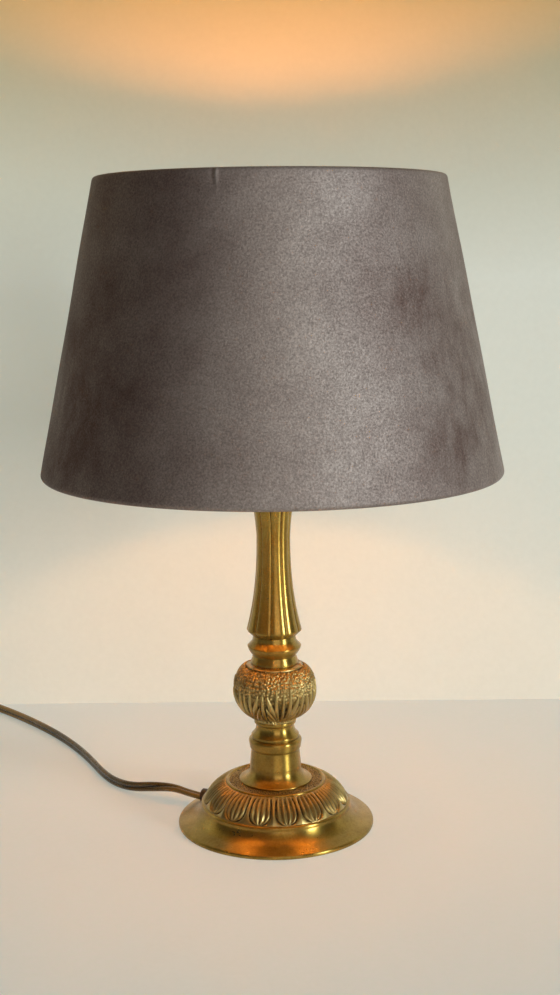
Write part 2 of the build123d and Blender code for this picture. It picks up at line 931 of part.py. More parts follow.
# Flex inside the lamp: through the bush, under the nut and up the threaded tube
flex_exit = exit_direction * bush_reach + Vector(0, 0, exit_height)
with BuildPart() as inner_flex:
    with BuildLine() as inner_path:
        FilletPolyline(
            flex_exit,
            exit_direction * inner_bend_start + Vector(0, 0, exit_height),
            exit_direction * inner_bend_end + Vector(0, 0, flex_floor),
            Vector(0, 0, flex_floor),
            Vector(0, 0, flex_end),
            radius=inner_bend_radii,
        )
    sweep(flex_section(flex_exit, -exit_direction), path=inner_path.wire())
report_tube("inner_flex", inner_flex.part, inner_path.wire().length)
write(inner_flex, "inner_flex")

switch_back = switch_y + switch_length / 2
switch_front = switch_y - switch_length / 2
flex_tube(
    "flex_lead",
    [
        tuple(flex_exit),
        tuple(flex_exit + exit_direction * exit_run),
        *lead_route,
        (switch_x, switch_back + switch_approach, switch_split),
        (switch_x, switch_back - switch_rib_inset, switch_split),
    ],
)

# Switch on the flex: two shells, screws, contacts, pivot pin and rocker


def switch_plane(height):
    """Level plane over the middle of the switch."""
    return Plane(origin=(switch_x, switch_y, height))


def switch_outline(inset=0.0):
    """Rounded outline of the switch's shells, or of the hollow inside them."""
    RectangleRounded(switch_width - 2 * inset, switch_length - 2 * inset, switch_corner - inset)


def cut_flex_entries():
    """Cut the round entries for the flex through both ends of a shell."""
    entry_plane = Plane(origin=(switch_x, switch_back, switch_split), z_dir=(0, -1, 0))
    with BuildSketch(entry_plane) as entry:
        Circle(flex_width / 2 + bush_bore_clearance)
    extrude(entry.sketch, amount=switch_length, mode=Mode.SUBTRACT)


def at_posts():
    """Places of the two screws, at opposite corners of the switch."""
    return Locations((screw_post_x, screw_post_y), (-screw_post_x, -screw_post_y))


switch_roof = switch_height - switch_wall
opening_half = rocker_half_length + rocker_crown * sin(radians(rocker_tilt)) + rocker_gap

with BuildPart() as switch_base:
    with BuildSketch(switch_plane(0)):
        switch_outline()
    extrude(amount=switch_split)
    fillet(switch_base.edges().group_by(Axis.Z)[0], switch_edge / 2)
    with BuildSketch(switch_plane(switch_wall)):
        switch_outline(switch_wall)
    extrude(amount=switch_split - switch_wall, mode=Mode.SUBTRACT)
    cut_flex_entries()
    rib_y = switch_length / 2 - switch_rib_inset - switch_wall / 2
    with BuildSketch(switch_plane(switch_wall)):
        with Locations((0, rib_y), (0, -rib_y)):
            Rectangle(switch_width - 2 * switch_wall, switch_wall)
    extrude(amount=switch_rib_rise - switch_wall)
    with BuildSketch(switch_plane(0)):
        with at_posts():
            Circle(screw_post_radius)
    extrude(amount=switch_split)
    with BuildSketch(switch_plane(0)):
        with at_posts():
            Circle(screw_radius + tube_clearance)
    extrude(amount=switch_split, mode=Mode.SUBTRACT)
    with BuildSketch(switch_plane(0)):
        with at_posts():
            Circle(screw_head_radius + tube_clearance)
    extrude(amount=2 * screw_head_height, mode=Mode.SUBTRACT)
write(switch_base, "switch_base")

with BuildPart() as switch_cover:
    with BuildSketch(switch_plane(switch_split)):
        switch_outline()
    extrude(amount=switch_height - switch_split)
    fillet(switch_cover.edges().group_by(Axis.Z)[-1], switch_edge)
    with BuildSketch(switch_plane(switch_split)):
        switch_outline(switch_wall)
    extrude(amount=switch_roof - switch_split, mode=Mode.SUBTRACT)
    cut_flex_entries()
    with BuildSketch(switch_plane(switch_split)):
        with at_posts():
            Circle(screw_post_radius)
    extrude(amount=switch_roof - switch_split)
    with BuildSketch(switch_plane(switch_split)):
        with at_posts():
            Circle(screw_radius + thread_fit)
    extrude(amount=switch_roof - switch_split, mode=Mode.SUBTRACT)
    lug_x = rocker_width / 2 + rocker_gap + pivot_lug_width / 2
    with BuildSketch(switch_plane(pivot_height - pivot_lug_half)):
        with Locations((lug_x, 0), (-lug_x, 0)):
            Rectangle(pivot_lug_width, 2 * pivot_lug_half)
    extrude(amount=switch_roof - pivot_height + pivot_lug_half)
    with BuildSketch(switch_plane(switch_roof)):
        Rectangle(rocker_width + 2 * rocker_gap, 2 * opening_half)
    extrude(amount=switch_wall, mode=Mode.SUBTRACT)
    pin_half = lug_x + pivot_lug_width / 2
    pin_plane = Plane(origin=(switch_x - pin_half, switch_y, pivot_height), z_dir=(1, 0, 0))
    with BuildSketch(pin_plane):
        Circle(pivot_radius + thread_fit / 2)
    extrude(amount=2 * pin_half, mode=Mode.SUBTRACT)
write(switch_cover, "switch_cover")

with BuildPart() as switch_pivot:
    with BuildSketch(pin_plane):
        Circle(pivot_radius)
    extrude(amount=2 * pin_half)
write(switch_pivot, "switch_pivot")

with BuildPart() as switch_screws:
    with BuildSketch(switch_plane(screw_head_height)):
        with at_posts():
            Circle(screw_head_radius)
    extrude(amount=screw_head_height)
    with BuildSketch(switch_plane(screw_head_height)):
        with at_posts():
            Circle(screw_radius)
    extrude(amount=screw_length)
write(switch_screws, "switch_screws")

with BuildPart() as switch_contacts:
    plate_width, plate_length, plate_thickness = contact_plate
    with BuildSketch(switch_plane(switch_wall)):
        with Locations((0, contact_plate_y), (0, -contact_plate_y)):
            Rectangle(plate_width, plate_length)
    extrude(amount=plate_thickness)
    with BuildSketch(switch_plane(switch_wall)):
        with Locations((0, contact_plate_y), (0, -contact_plate_y)):
            Rectangle(plate_width, plate_thickness)
    extrude(amount=contact_post_top - switch_wall)
write(switch_contacts, "switch_contacts")

# Rocker, modelled at rest with the end towards the lamp pressed down
with BuildPart() as switch_rocker:
    tilt = radians(rocker_tilt)
    rocker_plane = Plane(
        origin=(switch_x, switch_y, pivot_height),
        x_dir=(0, cos(tilt), -sin(tilt)),
        z_dir=(1, 0, 0),
    )
    with BuildSketch(rocker_plane):
        with BuildLine():
            Polyline(
                (-rocker_root_half, -rocker_root),
                (rocker_root_half, -rocker_root),
                (rocker_half_length, rocker_shoulder),
                (rocker_half_length, rocker_crown),
                (0, rocker_valley),
                (-rocker_half_length, rocker_crown),
                (-rocker_half_length, rocker_shoulder),
                close=True,
            )
        make_face()
        Circle(pivot_radius + running_fit, mode=Mode.SUBTRACT)
    extrude(amount=rocker_width / 2, both=True)
write(switch_rocker, "switch_rocker")

# Coil: in along the lower layer, up a layer in a half turn, and out along the upper layer
coil_x = switch_x
coil_y = switch_front - coil_start_drop
lower_layer = tie_thickness + tie_slack + flex_width / 2
upper_layer = lower_layer + coil_layer_step
inner_half_turns = 2 * coil_turns_in
turn_radii = [coil_outer_radius - turn * coil_pitch / 2 for turn in range(inner_half_turns + 1)]
turn_radii += turn_radii[inner_half_turns - 1 : 0 : -1]

flex_tube(
    "flex_tail",
    [
        (switch_x, switch_front + switch_rib_inset, switch_split),
        (switch_x, switch_front - tail_approach, switch_split),
        (switch_x, coil_y + flex_width + tail_level_run, lower_layer),
        (coil_x, coil_y + flex_width, lower_layer),
    ],
)

with BuildPart() as flex_coil:
    point = Vector(coil_x, coil_y, lower_layer)
    heading = Vector(0, -1, 0)
    with BuildLine() as coil_path:
        Line(point + Vector(0, flex_width, 0), point)
        for turn, radius in enumerate(turn_radii):
            climb = coil_layer_step if turn == inner_half_turns else 0
            across = Vector(-2 * radius * heading.Y, 0, climb)
            middle = point + across / 2 + heading * (across.length / 2)
            TangentArc(point, middle, tangent=heading)
            TangentArc(middle, point + across, tangent=across)
            point = point + across
            heading = heading * -1
        Line(point, point + heading * flex_width)
    coil_end = point + heading * flex_width
    sweep(flex_section(coil_path.wire() @ 0, Vector(0, -1, 0)), path=coil_path.wire())
report_tube("flex_coil", flex_coil.part, coil_path.wire().length)
write(flex_coil, "flex_coil")


def least_self_gap(line, spacing):
    """Least gap between stretches of one tube that are more than two diameters apart along it."""
    count = int(line.length / spacing)
    places = [line @ (step / count) for step in range(count + 1)]
    apart = int(4 * flex_width / spacing)
    least = min(
        (places[first] - places[second]).length
        for first in range(count + 1)
        for second in range(first + apart, count + 1)
    )
    return least - flex_width


print("flex_coil least gap to itself", round(least_self_gap(coil_path.wire(), gap_probe_step), 2))

# Tie round the coil, on the side away from the flex's ends
with BuildPart() as coil_tie:
    coil_right = coil_x + 2 * coil_outer_radius
    bundle_inner = coil_x + 2 * coil_outer_radius - coil_turns_in * coil_pitch
    bundle_half = (coil_right - bundle_inner) / 2 + flex_width / 2 + tie_slack
    bundle_height = upper_layer + flex_width / 2 + tie_slack - tie_thickness
    tie_plane = Plane(
        origin=((coil_right + bundle_inner) / 2, coil_y, tie_thickness + bundle_height / 2),
        x_dir=(1, 0, 0),
        z_dir=(0, -1, 0),
    )
    with BuildSketch(tie_plane):
        Rectangle(2 * bundle_half + 2 * tie_thickness, bundle_height + 2 * tie_thickness)
        Rectangle(2 * bundle_half, bundle_height, mode=Mode.SUBTRACT)
    extrude(amount=tie_width / 2, both=True)
write(coil_tie, "coil_tie")

# Plug at the end of the flex, lying flat, with its pins towards the front
plug_x = coil_end.X - end_side_step
plug_z = plug_thickness / 2
relief_tip_y = coil_end.Y - end_run
relief_root_y = relief_tip_y - relief_length
plug_face_y = relief_root_y - plug_taper - plug_front

flex_tube(
    "flex_end",
    [
        tuple(coil_end),
        (coil_end.X, coil_end.Y - end_straight, coil_end.Z),
        (coil_end.X - end_side_step / 2, coil_end.Y - end_middle, coil_end.Z - end_drop),
        (plug_x, relief_tip_y + end_straight, plug_z),
        (plug_x, relief_tip_y, plug_z),
    ],
)


def plug_plane(y):
    """Upright plane across the plug, looking back along the flex."""
    return Plane(origin=(plug_x, y, plug_z), x_dir=(1, 0, 0), z_dir=(0, -1, 0))


def at_pins():
    """Places of the plug's two pins."""
    return Locations((pin_spacing / 2, 0), (-pin_spacing / 2, 0))


with BuildPart() as plug_body:
    with BuildSketch(plug_plane(plug_face_y + plug_front)):
        RectangleRounded(plug_width, plug_thickness, plug_corner)
    extrude(amount=plug_front)
    with BuildSketch(plug_plane(relief_root_y)):
        RectangleRounded(plug_rear_width, plug_rear_thickness, plug_corner)
    with BuildSketch(plug_plane(plug_face_y + plug_front)):
        RectangleRounded(plug_width, plug_thickness, plug_corner)
    loft()
    with BuildSketch(plug_plane(plug_face_y + pin_seat)):
        with at_pins():
            Circle(pin_core_radius + thread_fit)
    extrude(amount=pin_seat, mode=Mode.SUBTRACT)
write(plug_body, "plug_body")

with BuildPart() as pin_sleeves:
    with BuildSketch(plug_plane(plug_face_y)):
        with at_pins():
            Circle(pin_radius)
            Circle(pin_core_radius + thread_fit, mode=Mode.SUBTRACT)
    extrude(amount=sleeve_length)
write(pin_sleeves, "pin_sleeves")

with BuildPart() as plug_pins:
    with BuildSketch(plug_plane(plug_face_y - sleeve_length)):
        with at_pins():
            Circle(pin_radius)
    extrude(amount=pin_length - sleeve_length)
    fillet(plug_pins.edges().group_by(Axis.Y)[0], pin_radius / 2)
    with BuildSketch(plug_plane(plug_face_y + pin_seat)):
        with at_pins():
            Circle(pin_core_radius)
    extrude(amount=pin_seat + sleeve_length)
write(plug_pins, "plug_pins")

# Strain relief: a ribbed taper from the plug to the flex
with BuildPart() as plug_relief:
    rib_step = relief_length / relief_ribs
    taper = (relief_root_radius - relief_tip_radius) / relief_length
    outline = [(0, 0)]
    for rib in range(relief_ribs):
        start = rib * rib_step
        end = start + rib_step
        groove_start = end - rib_step / 3
        end_radius = relief_root_radius - taper * end
        outline += [(relief_root_radius - taper * start, start), (end_radius, groove_start)]
        outline += [(end_radius - relief_groove, groove_start), (end_radius - relief_groove, end)]
    outline += [(0, relief_length)]
    relief_plane = Plane(origin=(plug_x, relief_root_y, plug_z), x_dir=(1, 0, 0), z_dir=(0, 0, 1))
    with BuildSketch(relief_plane):
        with BuildLine():
            Polyline(*outline, close=True)
        make_face()
    revolve(axis=Axis((plug_x, relief_root_y, plug_z), (0, 1, 0)))
write(plug_relief, "plug_relief")
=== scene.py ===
"""A brass table lamp with a velvet shade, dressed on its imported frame."""

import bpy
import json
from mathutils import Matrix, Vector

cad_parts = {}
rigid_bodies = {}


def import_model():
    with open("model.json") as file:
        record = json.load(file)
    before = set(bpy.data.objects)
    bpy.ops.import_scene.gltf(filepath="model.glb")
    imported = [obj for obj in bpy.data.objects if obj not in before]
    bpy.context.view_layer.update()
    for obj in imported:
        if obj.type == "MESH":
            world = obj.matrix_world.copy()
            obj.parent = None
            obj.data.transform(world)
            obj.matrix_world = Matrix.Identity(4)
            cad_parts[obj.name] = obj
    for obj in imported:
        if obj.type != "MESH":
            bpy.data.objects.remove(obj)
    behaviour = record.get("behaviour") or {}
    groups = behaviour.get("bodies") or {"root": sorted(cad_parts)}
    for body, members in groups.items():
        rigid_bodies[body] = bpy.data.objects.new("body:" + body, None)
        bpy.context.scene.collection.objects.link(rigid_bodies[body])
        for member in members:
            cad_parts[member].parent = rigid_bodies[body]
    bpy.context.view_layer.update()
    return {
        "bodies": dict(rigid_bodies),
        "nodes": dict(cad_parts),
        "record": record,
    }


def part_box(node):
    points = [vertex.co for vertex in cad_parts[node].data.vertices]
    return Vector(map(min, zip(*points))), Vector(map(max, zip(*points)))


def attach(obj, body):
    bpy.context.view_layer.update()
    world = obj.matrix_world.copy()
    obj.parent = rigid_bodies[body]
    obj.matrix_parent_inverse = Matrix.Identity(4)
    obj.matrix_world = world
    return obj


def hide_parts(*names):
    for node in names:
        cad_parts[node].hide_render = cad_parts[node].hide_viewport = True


bl_info = {
    "name": "Brass table lamp",
    "version": (1, 0, 0),
    "blender": (4, 5, 0),
    "location": "3D View > Sidebar > Lamp",
    "description": "Brass relief, velvet shade, bulb, flex and stage of a table lamp",
    "category": "Object",
}

import json
from math import asin, atan2, cos, hypot, pi, radians, sin, tau

import bmesh
import bpy
import numpy as np
from bpy.props import FloatProperty, FloatVectorProperty, IntProperty, PointerProperty
from mathutils import Euler, Matrix, Vector

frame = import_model()

MM = 0.001
FRONT = radians(-90)
TUBE_BORE = 5.1


def low(piece):
    """Height of a CAD node's underside, in millimetres."""
    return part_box(piece)[0][2] / MM


def high(piece):
    """Height of a CAD node's top, in millimetres."""
    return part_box(piece)[1][2] / MM


# Settings that a user would change

def length(name, description, default):
    """A length to set, in metres."""
    return FloatProperty(name=name, description=description, default=default, unit="LENGTH", precision=5)


def power(name, description, default):
    """A light's strength to set."""
    return FloatProperty(name=name, description=description, default=default, min=0.0, unit="POWER")


def tally(name, description, default, least):
    """A number of repeats to set."""
    return IntProperty(name=name, description=description, default=default, min=least)


def colour(name, description, default):
    """A colour to set."""
    return FloatVectorProperty(name=name, description=description, default=default,
                               subtype="COLOR", size=3, min=0.0, max=1.0)


class LAMP_PG_brass(bpy.types.PropertyGroup):
    """Sizes and colours of the brass stem and foot"""

    leaf_count: tally("Foot leaves", "Leaves round the foot", 16, 6)
    leaf_relief: length("Leaf relief", "Height of the foot's leaves", 0.0014)
    palmette_count: tally("Knop leaves", "Leaf groups round the knop", 6, 3)
    palmette_relief: length("Knop relief", "Height of the knop's leaves", 0.0017)
    reed_count: tally("Column reeds", "Reeds round the column", 10, 4)
    reed_depth: length("Reed depth", "Depth between the column's reeds", 0.00055)
    bright: colour("Bright brass", "Brass where hands polish it", (0.46, 0.290, 0.060))
    rubbed: colour("Rubbed", "Colour of cast brass where it is rubbed", (0.80, 0.62, 0.26))
    worn: colour("Dull brass", "Brass where it has dulled", (0.24, 0.140, 0.018))
    patina: colour("Patina", "Dirt and tarnish in the hollows", (0.022, 0.012, 0.004))


class LAMP_PG_shade(bpy.types.PropertyGroup):
    """Sizes and colours of the shade and the bulb"""

    cloth_thickness: length("Velvet thickness", "Thickness of the velvet", 0.0008)
    hem: length("Hem", "Width of the hem turned inside each rim", 0.011)
    roll: length("Rim roll", "Radius of the rolled rims", 0.0022)
    # The velvet runs from its dark to its light colour by its nap, and by painted light towards the front
    nap_light: colour("Nap, light", "Velvet brushed towards the light", (0.485, 0.412, 0.378))
    nap_dark: colour("Nap, dark", "Velvet brushed away from the light", (0.138, 0.078, 0.065))
    lining: colour("Lining", "The stiff lining inside the velvet", (0.80, 0.70, 0.55))
    lit: colour("Lamp light", "Colour of the bulb's light", (1.0, 0.46, 0.12))
    watts: power("Lamp power", "Strength of the bulb's light", 0.9)


class LAMP_PG_flex(bpy.types.PropertyGroup):
    """Sizes and colours of the flex, its switch and its plug"""

    wide: length("Flex width", "Width of the two cores together", 0.0056)
    thick: length("Flex thickness", "Thickness of one core", 0.0029)
    total: length("Flex length", "Whole length from the foot to the plug", 1.75)
    amber: colour("Flex", "Golden insulation", (0.46, 0.30, 0.060))
    # Darker colour of the flex, along its stretch near the foot and in slow blotches
    dusk: colour("Flex, dark", "Insulation where dust and age darken it", (0.115, 0.074, 0.018))
    moulding: colour("Mouldings", "Switch and plug", (0.075, 0.042, 0.020))


class LAMP_PG_stage(bpy.types.PropertyGroup):
    """Table, wall and light"""

    table: colour("Table", "Colour of the table top", (0.74, 0.73, 0.69))
    wall: colour("Wall", "Colour of the wall", (0.76, 0.745, 0.68))
    wall_place: length("Wall", "Distance of the wall behind the lamp", 0.218)
    table_glow: colour("Table glow", "Light that only the eye and reflections see", (0.235, 0.288, 0.275))
    wall_glow: colour("Wall glow", "Light that only the eye and reflections see", (0.225, 0.245, 0.205))
    window: power("Window", "Light from the right", 118.0)
    room: power("Room", "Soft light from the front", 40.0)
    fill: FloatProperty(name="Fill", description="Strength of the light all round", default=0.07, min=0.0)


# Outlines and turned shapes

def outline(steps, spacing=0.35, lift=0.0):
    """Points (radius, height) along runs and arcs; a step's third number is its arc's outward bulge."""
    points = [np.array(steps[0][:2], float)]
    for step in steps[1:]:
        start, end = points[-1], np.array(step[:2], float)
        bulge = step[2] if len(step) > 2 else 0.0
        run = end - start
        span = hypot(*run)
        share = np.linspace(0, 1, max(2, round(span / spacing) + 1))[1:, None]
        if bulge == 0:
            points.extend(start + share * run)
            continue
        along = run / span
        outward = np.array([along[1], -along[0]]) * np.sign(bulge)
        depth = abs(bulge)
        radius = span ** 2 / (8 * depth) + depth / 2
        angle = (2 * share - 1) * asin(span / 2 / radius)
        middle = (start + end) / 2 - outward * (radius - depth)
        points.extend(middle + radius * (along * np.sin(angle) + outward * np.cos(angle)))
    return np.array(points) + (0.0, lift)


def softened(points, rounds=2):
    """The outline with its edges eased, its two ends kept."""
    eased = points.copy()
    for _ in range(rounds):
        eased[1:-1] = (eased[:-2] + 2 * eased[1:-1] + eased[2:]) / 4
    return eased


def outward_normals(points):
    """Unit vectors across an outline, on its right as it goes up."""
    along = np.gradient(points, axis=0)
    along /= np.maximum(np.hypot(along[:, 0], along[:, 1]), 1e-9)[:, None]
    return np.stack([along[:, 1], -along[:, 0]], axis=1)


def runs_along(points):
    """Length of a line of points up to each of them."""
    return np.concatenate([[0], np.cumsum(np.linalg.norm(np.diff(points, axis=0), axis=1))])


def hollows(points, reach=9, open_curve=0.22, depth=0.4):
    """How far each point lies in a tight hollow of its outline, from 0 to 1."""
    padded = np.pad(points, ((reach, reach), (0, 0)), mode="edge")
    weights = np.hanning(2 * reach + 3)[1:-1]
    weights /= weights.sum()
    mean = np.stack([np.convolve(padded[:, axis], weights, mode="valid") for axis in (0, 1)], axis=1)
    inward = ((mean - points) * outward_normals(points)).sum(1)
    return np.clip((inward - open_curve) / depth, 0, 1)


def around(radius, height, angle):
    """Points in metres, from radii and heights in millimetres at angles round the axis."""
    place = np.stack([radius * np.cos(angle), radius * np.sin(angle), height + 0 * angle], axis=-1)
    return place.reshape(-1, 3) * MM


def grid_faces(rows, columns, ring_rows, ring_columns):
    """Quads of a grid of points, closed over its rows or its columns where asked."""
    i = np.arange(rows if ring_rows else rows - 1)[:, None]
    j = np.arange(columns if ring_columns else columns - 1)[None, :]
    below, above = i * columns, (i + 1) % rows * columns
    left, right = j, (j + 1) % columns
    quads = np.stack([below + left, below + right, above + right, above + left], axis=-1)
    return quads.reshape(-1, 4).tolist()


def mesh_object(name, points, faces, marks=None):
    """A new mesh object with smooth faces and one number for each point under each mark's name."""
    mesh = bpy.data.meshes.new(name)
    mesh.from_pydata(np.asarray(points, float).tolist(), [], faces)
    for label, values in (marks or {}).items():
        layer = mesh.attributes.new(label, "FLOAT", "POINT")
        layer.data.foreach_set("value", np.asarray(values, np.float32).ravel())
    mesh.shade_smooth()
    made = bpy.data.objects.new(name, mesh)
    bpy.context.scene.collection.objects.link(made)
    return made


def weld(made, gap=1e-7):
    """Merges doubled points and turns the faces outwards."""
    shape = bmesh.new()
    shape.from_mesh(made.data)
    bmesh.ops.remove_doubles(shape, verts=shape.verts, dist=gap)
    bmesh.ops.recalc_face_normals(shape, faces=shape.faces)
    shape.to_mesh(made.data)
    shape.free()


def turned(name, points, segments, ring=True):
    """A lathe-turned piece from an outline in millimetres, closed along its bore if it has one."""
    angle = np.linspace(0, tau, segments, endpoint=False)
    marks = {"recess": np.repeat(hollows(points), segments)}
    made = mesh_object(name, around(points[:, :1], points[:, 1:], angle),
                       grid_faces(len(points), segments, ring, True), marks)
    weld(made)
    return made


def relief_sector(name, points, count, columns, relief, middle, back=()):
    """One repeat of a relief that goes round the axis: relief(u, v) gives its height in mm and its hollow.

    u goes from -1 to 1 across the repeat, v from 0 to 1 along the outline; back closes the shape inside.
    """
    runs = runs_along(points)
    across = np.linspace(-1, 1, columns + 1)
    raised, hollow = relief(*np.meshgrid(across, runs / runs[-1]))
    section = points[:, None, :] + outward_normals(points)[:, None, :] * raised[..., None]
    for corner in back:
        section = np.concatenate([section, np.broadcast_to(np.array(corner, float), (1, columns + 1, 2))])
        hollow = np.concatenate([hollow, np.ones((1, columns + 1))])
    place = around(section[..., 0], section[..., 1], middle + across * pi / count)
    return mesh_object(name, place, grid_faces(len(section), columns + 1, True, False), {"recess": hollow})


def bump(x, centre, width):
    """A smooth hump of height 1."""
    return np.exp(-((x - centre) / width) ** 2)


def rise(x, start, end):
    """0 before start, 1 after end, smooth between."""
    t = np.clip((x - start) / (end - start), 0, 1)
    return t * t * (3 - 2 * t)


# Uneven factors that scatter the grains' places and leans
SCATTER = ((12.9898, 78.233, 43758.5453), (39.3468, 11.135, 24634.6345), (73.156, 52.235, 31415.926))


def grains(u, v, across, up):
    """Uneven grains, each well off its place in a lattice that repeats across a sector."""
    margin, play = 0.1, 0.8
    half_length, half_width = 0.44, 0.33
    a, b = (u + 1) / 2 * across, v * up
    best = np.zeros_like(a)
    for di in (-1, 0, 1):
        for dj in (-1, 0, 1):
            i, j = np.floor(a) + di, np.floor(b) + dj
            draws = [np.sin((i % across) * first + j * second) * third for first, second, third in SCATTER]
            x, y, turn = (draw - np.floor(draw) for draw in draws)
            right, up_by = a - i - margin - play * x, b - j - margin - play * y
            lean = turn * pi
            along = right * np.cos(lean) + up_by * np.sin(lean)
            over = up_by * np.cos(lean) - right * np.sin(lean)
            best = np.maximum(best, np.exp(-(along / half_length) ** 2 - (over / half_width) ** 2))
    return best


# Geometry Nodes: a shape repeated round the lamp's axis

def repeat_tree():
    """The tree that repeats a sector round the axis, welds it and gives it its material."""
    name = "Repeat round the axis"
    if name in bpy.data.node_groups:
        return bpy.data.node_groups[name]
    tree = bpy.data.node_groups.new(name, "GeometryNodeTree")
    for label, side, kind in (
        ("Geometry", "INPUT", "Geometry"), ("Count", "INPUT", "Int"), ("Weld gap", "INPUT", "Float"),
        ("Material", "INPUT", "Material"), ("Geometry", "OUTPUT", "Geometry"),
    ):
        tree.interface.new_socket(label, in_out=side, socket_type="NodeSocket" + kind)
    kinds = {
        "entry": "NodeGroupInput", "points": "GeometryNodeMeshLine", "index": "GeometryNodeInputIndex",
        "share": "ShaderNodeMath", "turn": "ShaderNodeMath", "spin": "ShaderNodeCombineXYZ",
        "copies": "GeometryNodeInstanceOnPoints", "real": "GeometryNodeRealizeInstances",
        "welded": "GeometryNodeMergeByDistance", "smooth": "GeometryNodeSetShadeSmooth",
        "painted": "GeometryNodeSetMaterial", "leave": "NodeGroupOutput",
    }
    made = {key: tree.nodes.new(kind) for key, kind in kinds.items()}
    made["points"].inputs["Offset"].default_value = (0, 0, 0)
    made["share"].operation = "DIVIDE"
    made["share"].inputs[0].default_value = tau
    made["turn"].operation = "MULTIPLY"
    for start, outlet, end, inlet in (
        ("entry", "Count", "points", "Count"), ("entry", "Count", "share", 1),
        ("index", 0, "turn", 0), ("share", 0, "turn", 1), ("turn", 0, "spin", "Z"),
        ("points", 0, "copies", "Points"), ("entry", "Geometry", "copies", "Instance"),
        ("spin", 0, "copies", "Rotation"), ("copies", 0, "real", 0), ("real", 0, "welded", "Geometry"),
        ("entry", "Weld gap", "welded", "Distance"), ("welded", 0, "smooth", 0),
        ("smooth", 0, "painted", "Geometry"), ("entry", "Material", "painted", "Material"),
        ("painted", 0, "leave", 0),
    ):
        tree.links.new(made[start].outputs[outlet], made[end].inputs[inlet])
    return tree


def repeated(sector, count, material):
    """The sector repeated round the axis, as a plain mesh."""
    tree = repeat_tree()
    modifier = sector.modifiers.new("Repeat", "NODES")
    modifier.node_group = tree
    values = {"Count": count, "Weld gap": 0.00001, "Material": material}
    for socket in tree.interface.items_tree:
        if socket.in_out == "INPUT" and socket.name in values:
            modifier[socket.identifier] = values[socket.name]
    seen = sector.evaluated_get(bpy.context.evaluated_depsgraph_get())
    plain = bpy.data.meshes.new_from_object(seen)
    sector.modifiers.remove(modifier)
    sector.data = plain
    return sector


# Shader nodes

def node(tree, kind, inputs=None, **settings):
    """A shader node with its settings, and its inputs linked or set."""
    made = tree.nodes.new("ShaderNode" + kind)
    for key, value in settings.items():
        setattr(made, key, value)
    for key, value in (inputs or {}).items():
        if isinstance(value, bpy.types.NodeSocket):
            tree.links.new(value, made.inputs[key])
        else:
            made.inputs[key].default_value = value
    return made


def blended(tree, share, first, second, mode="MIX"):
    """Colour between two colours, as sockets or values."""
    share_at, first_at, second_at, result_at = 0, 6, 7, 2
    inputs = {share_at: share}
    for place, value in ((first_at, first), (second_at, second)):
        inputs[place] = value if isinstance(value, bpy.types.NodeSocket) else (*value, 1.0)
    return node(tree, "Mix", inputs, data_type="RGBA", blend_type=mode).outputs[result_at]


def arithmetic(operation):
    """A function that joins two values, as sockets or numbers, in one Math node."""
    def joined(tree, first, second, clamp=False):
        return node(tree, "Math", {0: first, 1: second}, operation=operation, use_clamp=clamp).outputs[0]
    return joined


sum_of = arithmetic("ADD")
difference = arithmetic("SUBTRACT")
product = arithmetic("MULTIPLY")


def spread(tree, value, source, target=(0.0, 1.0)):
    """A value taken from one range to another, held at its ends."""
    labels = ("Value", "From Min", "From Max", "To Min", "To Max")
    return node(tree, "MapRange", dict(zip(labels, (value, *source, *target)))).outputs["Result"]


def noise(tree, place, scale, detail=2.0, roughness=0.5, stretch=(1, 1, 1)):
    """Noise on object coordinates; scale counts blotches along a metre."""
    moved = node(tree, "Mapping", {"Vector": place, "Scale": stretch}).outputs[0]
    inputs = {"Vector": moved, "Scale": scale, "Detail": detail, "Roughness": roughness}
    return node(tree, "TexNoise", inputs).outputs[0]


def mark(tree, name):
    """A number that the mesh carries at each point."""
    return node(tree, "Attribute", attribute_name=name).outputs["Fac"]


def bump_of(tree, height, strength, distance):
    """A normal bumped by a height."""
    return node(tree, "Bump", {"Height": height, "Strength": strength, "Distance": distance}).outputs[0]


def wired(shader, **sockets):
    """Links values that change over the surface to the shader's sockets of those names."""
    for key, value in sockets.items():
        shader.id_data.links.new(value, shader.inputs[key.replace("_", " ")])


def shader_group(name, inputs, outputs, build):
    """A shader node group of plain values, built once; inputs give each name its default."""
    if name in bpy.data.node_groups:
        return bpy.data.node_groups[name]
    tree = bpy.data.node_groups.new(name, "ShaderNodeTree")
    for label, default in inputs.items():
        socket = tree.interface.new_socket(label, in_out="INPUT", socket_type="NodeSocketFloat")
        socket.default_value = default
    for label in outputs:
        tree.interface.new_socket(label, in_out="OUTPUT", socket_type="NodeSocketFloat")
    results = build(tree, tree.nodes.new("NodeGroupInput").outputs)
    leave = tree.nodes.new("NodeGroupOutput")
    for label, socket in results.items():
        tree.links.new(socket, leave.inputs[label])
    return tree


def mottle_group():
    """Slow and fine blotches of tone, for dulled metal, dusty plastic and brushed cloth."""
    def build(tree, given):
        place = node(tree, "TexCoord").outputs["Object"]
        slow = noise(tree, place, given["Blotches"], detail=3.0, roughness=0.6)
        fine = noise(tree, place, given["Specks"])
        both = sum_of(tree, product(tree, slow, 0.65), product(tree, fine, 0.35))
        return {"Tone": spread(tree, both, (0.34, 0.66)), "Fine": fine}
    return shader_group("Mottle", {"Blotches": 60.0, "Specks": 700.0}, ("Tone", "Fine"), build)


def recess_group():
    """How deep a point lies in a hollow, broken up by noise."""
    def build(tree, given):
        place = node(tree, "TexCoord").outputs["Object"]
        broken = spread(tree, noise(tree, place, 420.0, detail=3.0), (0.3, 0.7), (0.55, 1.25))
        deep = product(tree, mark(tree, "recess"), given["Strength"])
        return {"Hollow": product(tree, deep, broken, clamp=True)}
    return shader_group("Recess", {"Strength": 1.0}, ("Hollow",), build)


def placed_group(tree, group, **values):
    """A shader group placed in a material with its own values."""
    made = tree.nodes.new("ShaderNodeGroup")
    made.node_tree = group
    for key, value in values.items():
        made.inputs[key].default_value = value
    return made.outputs


# Materials

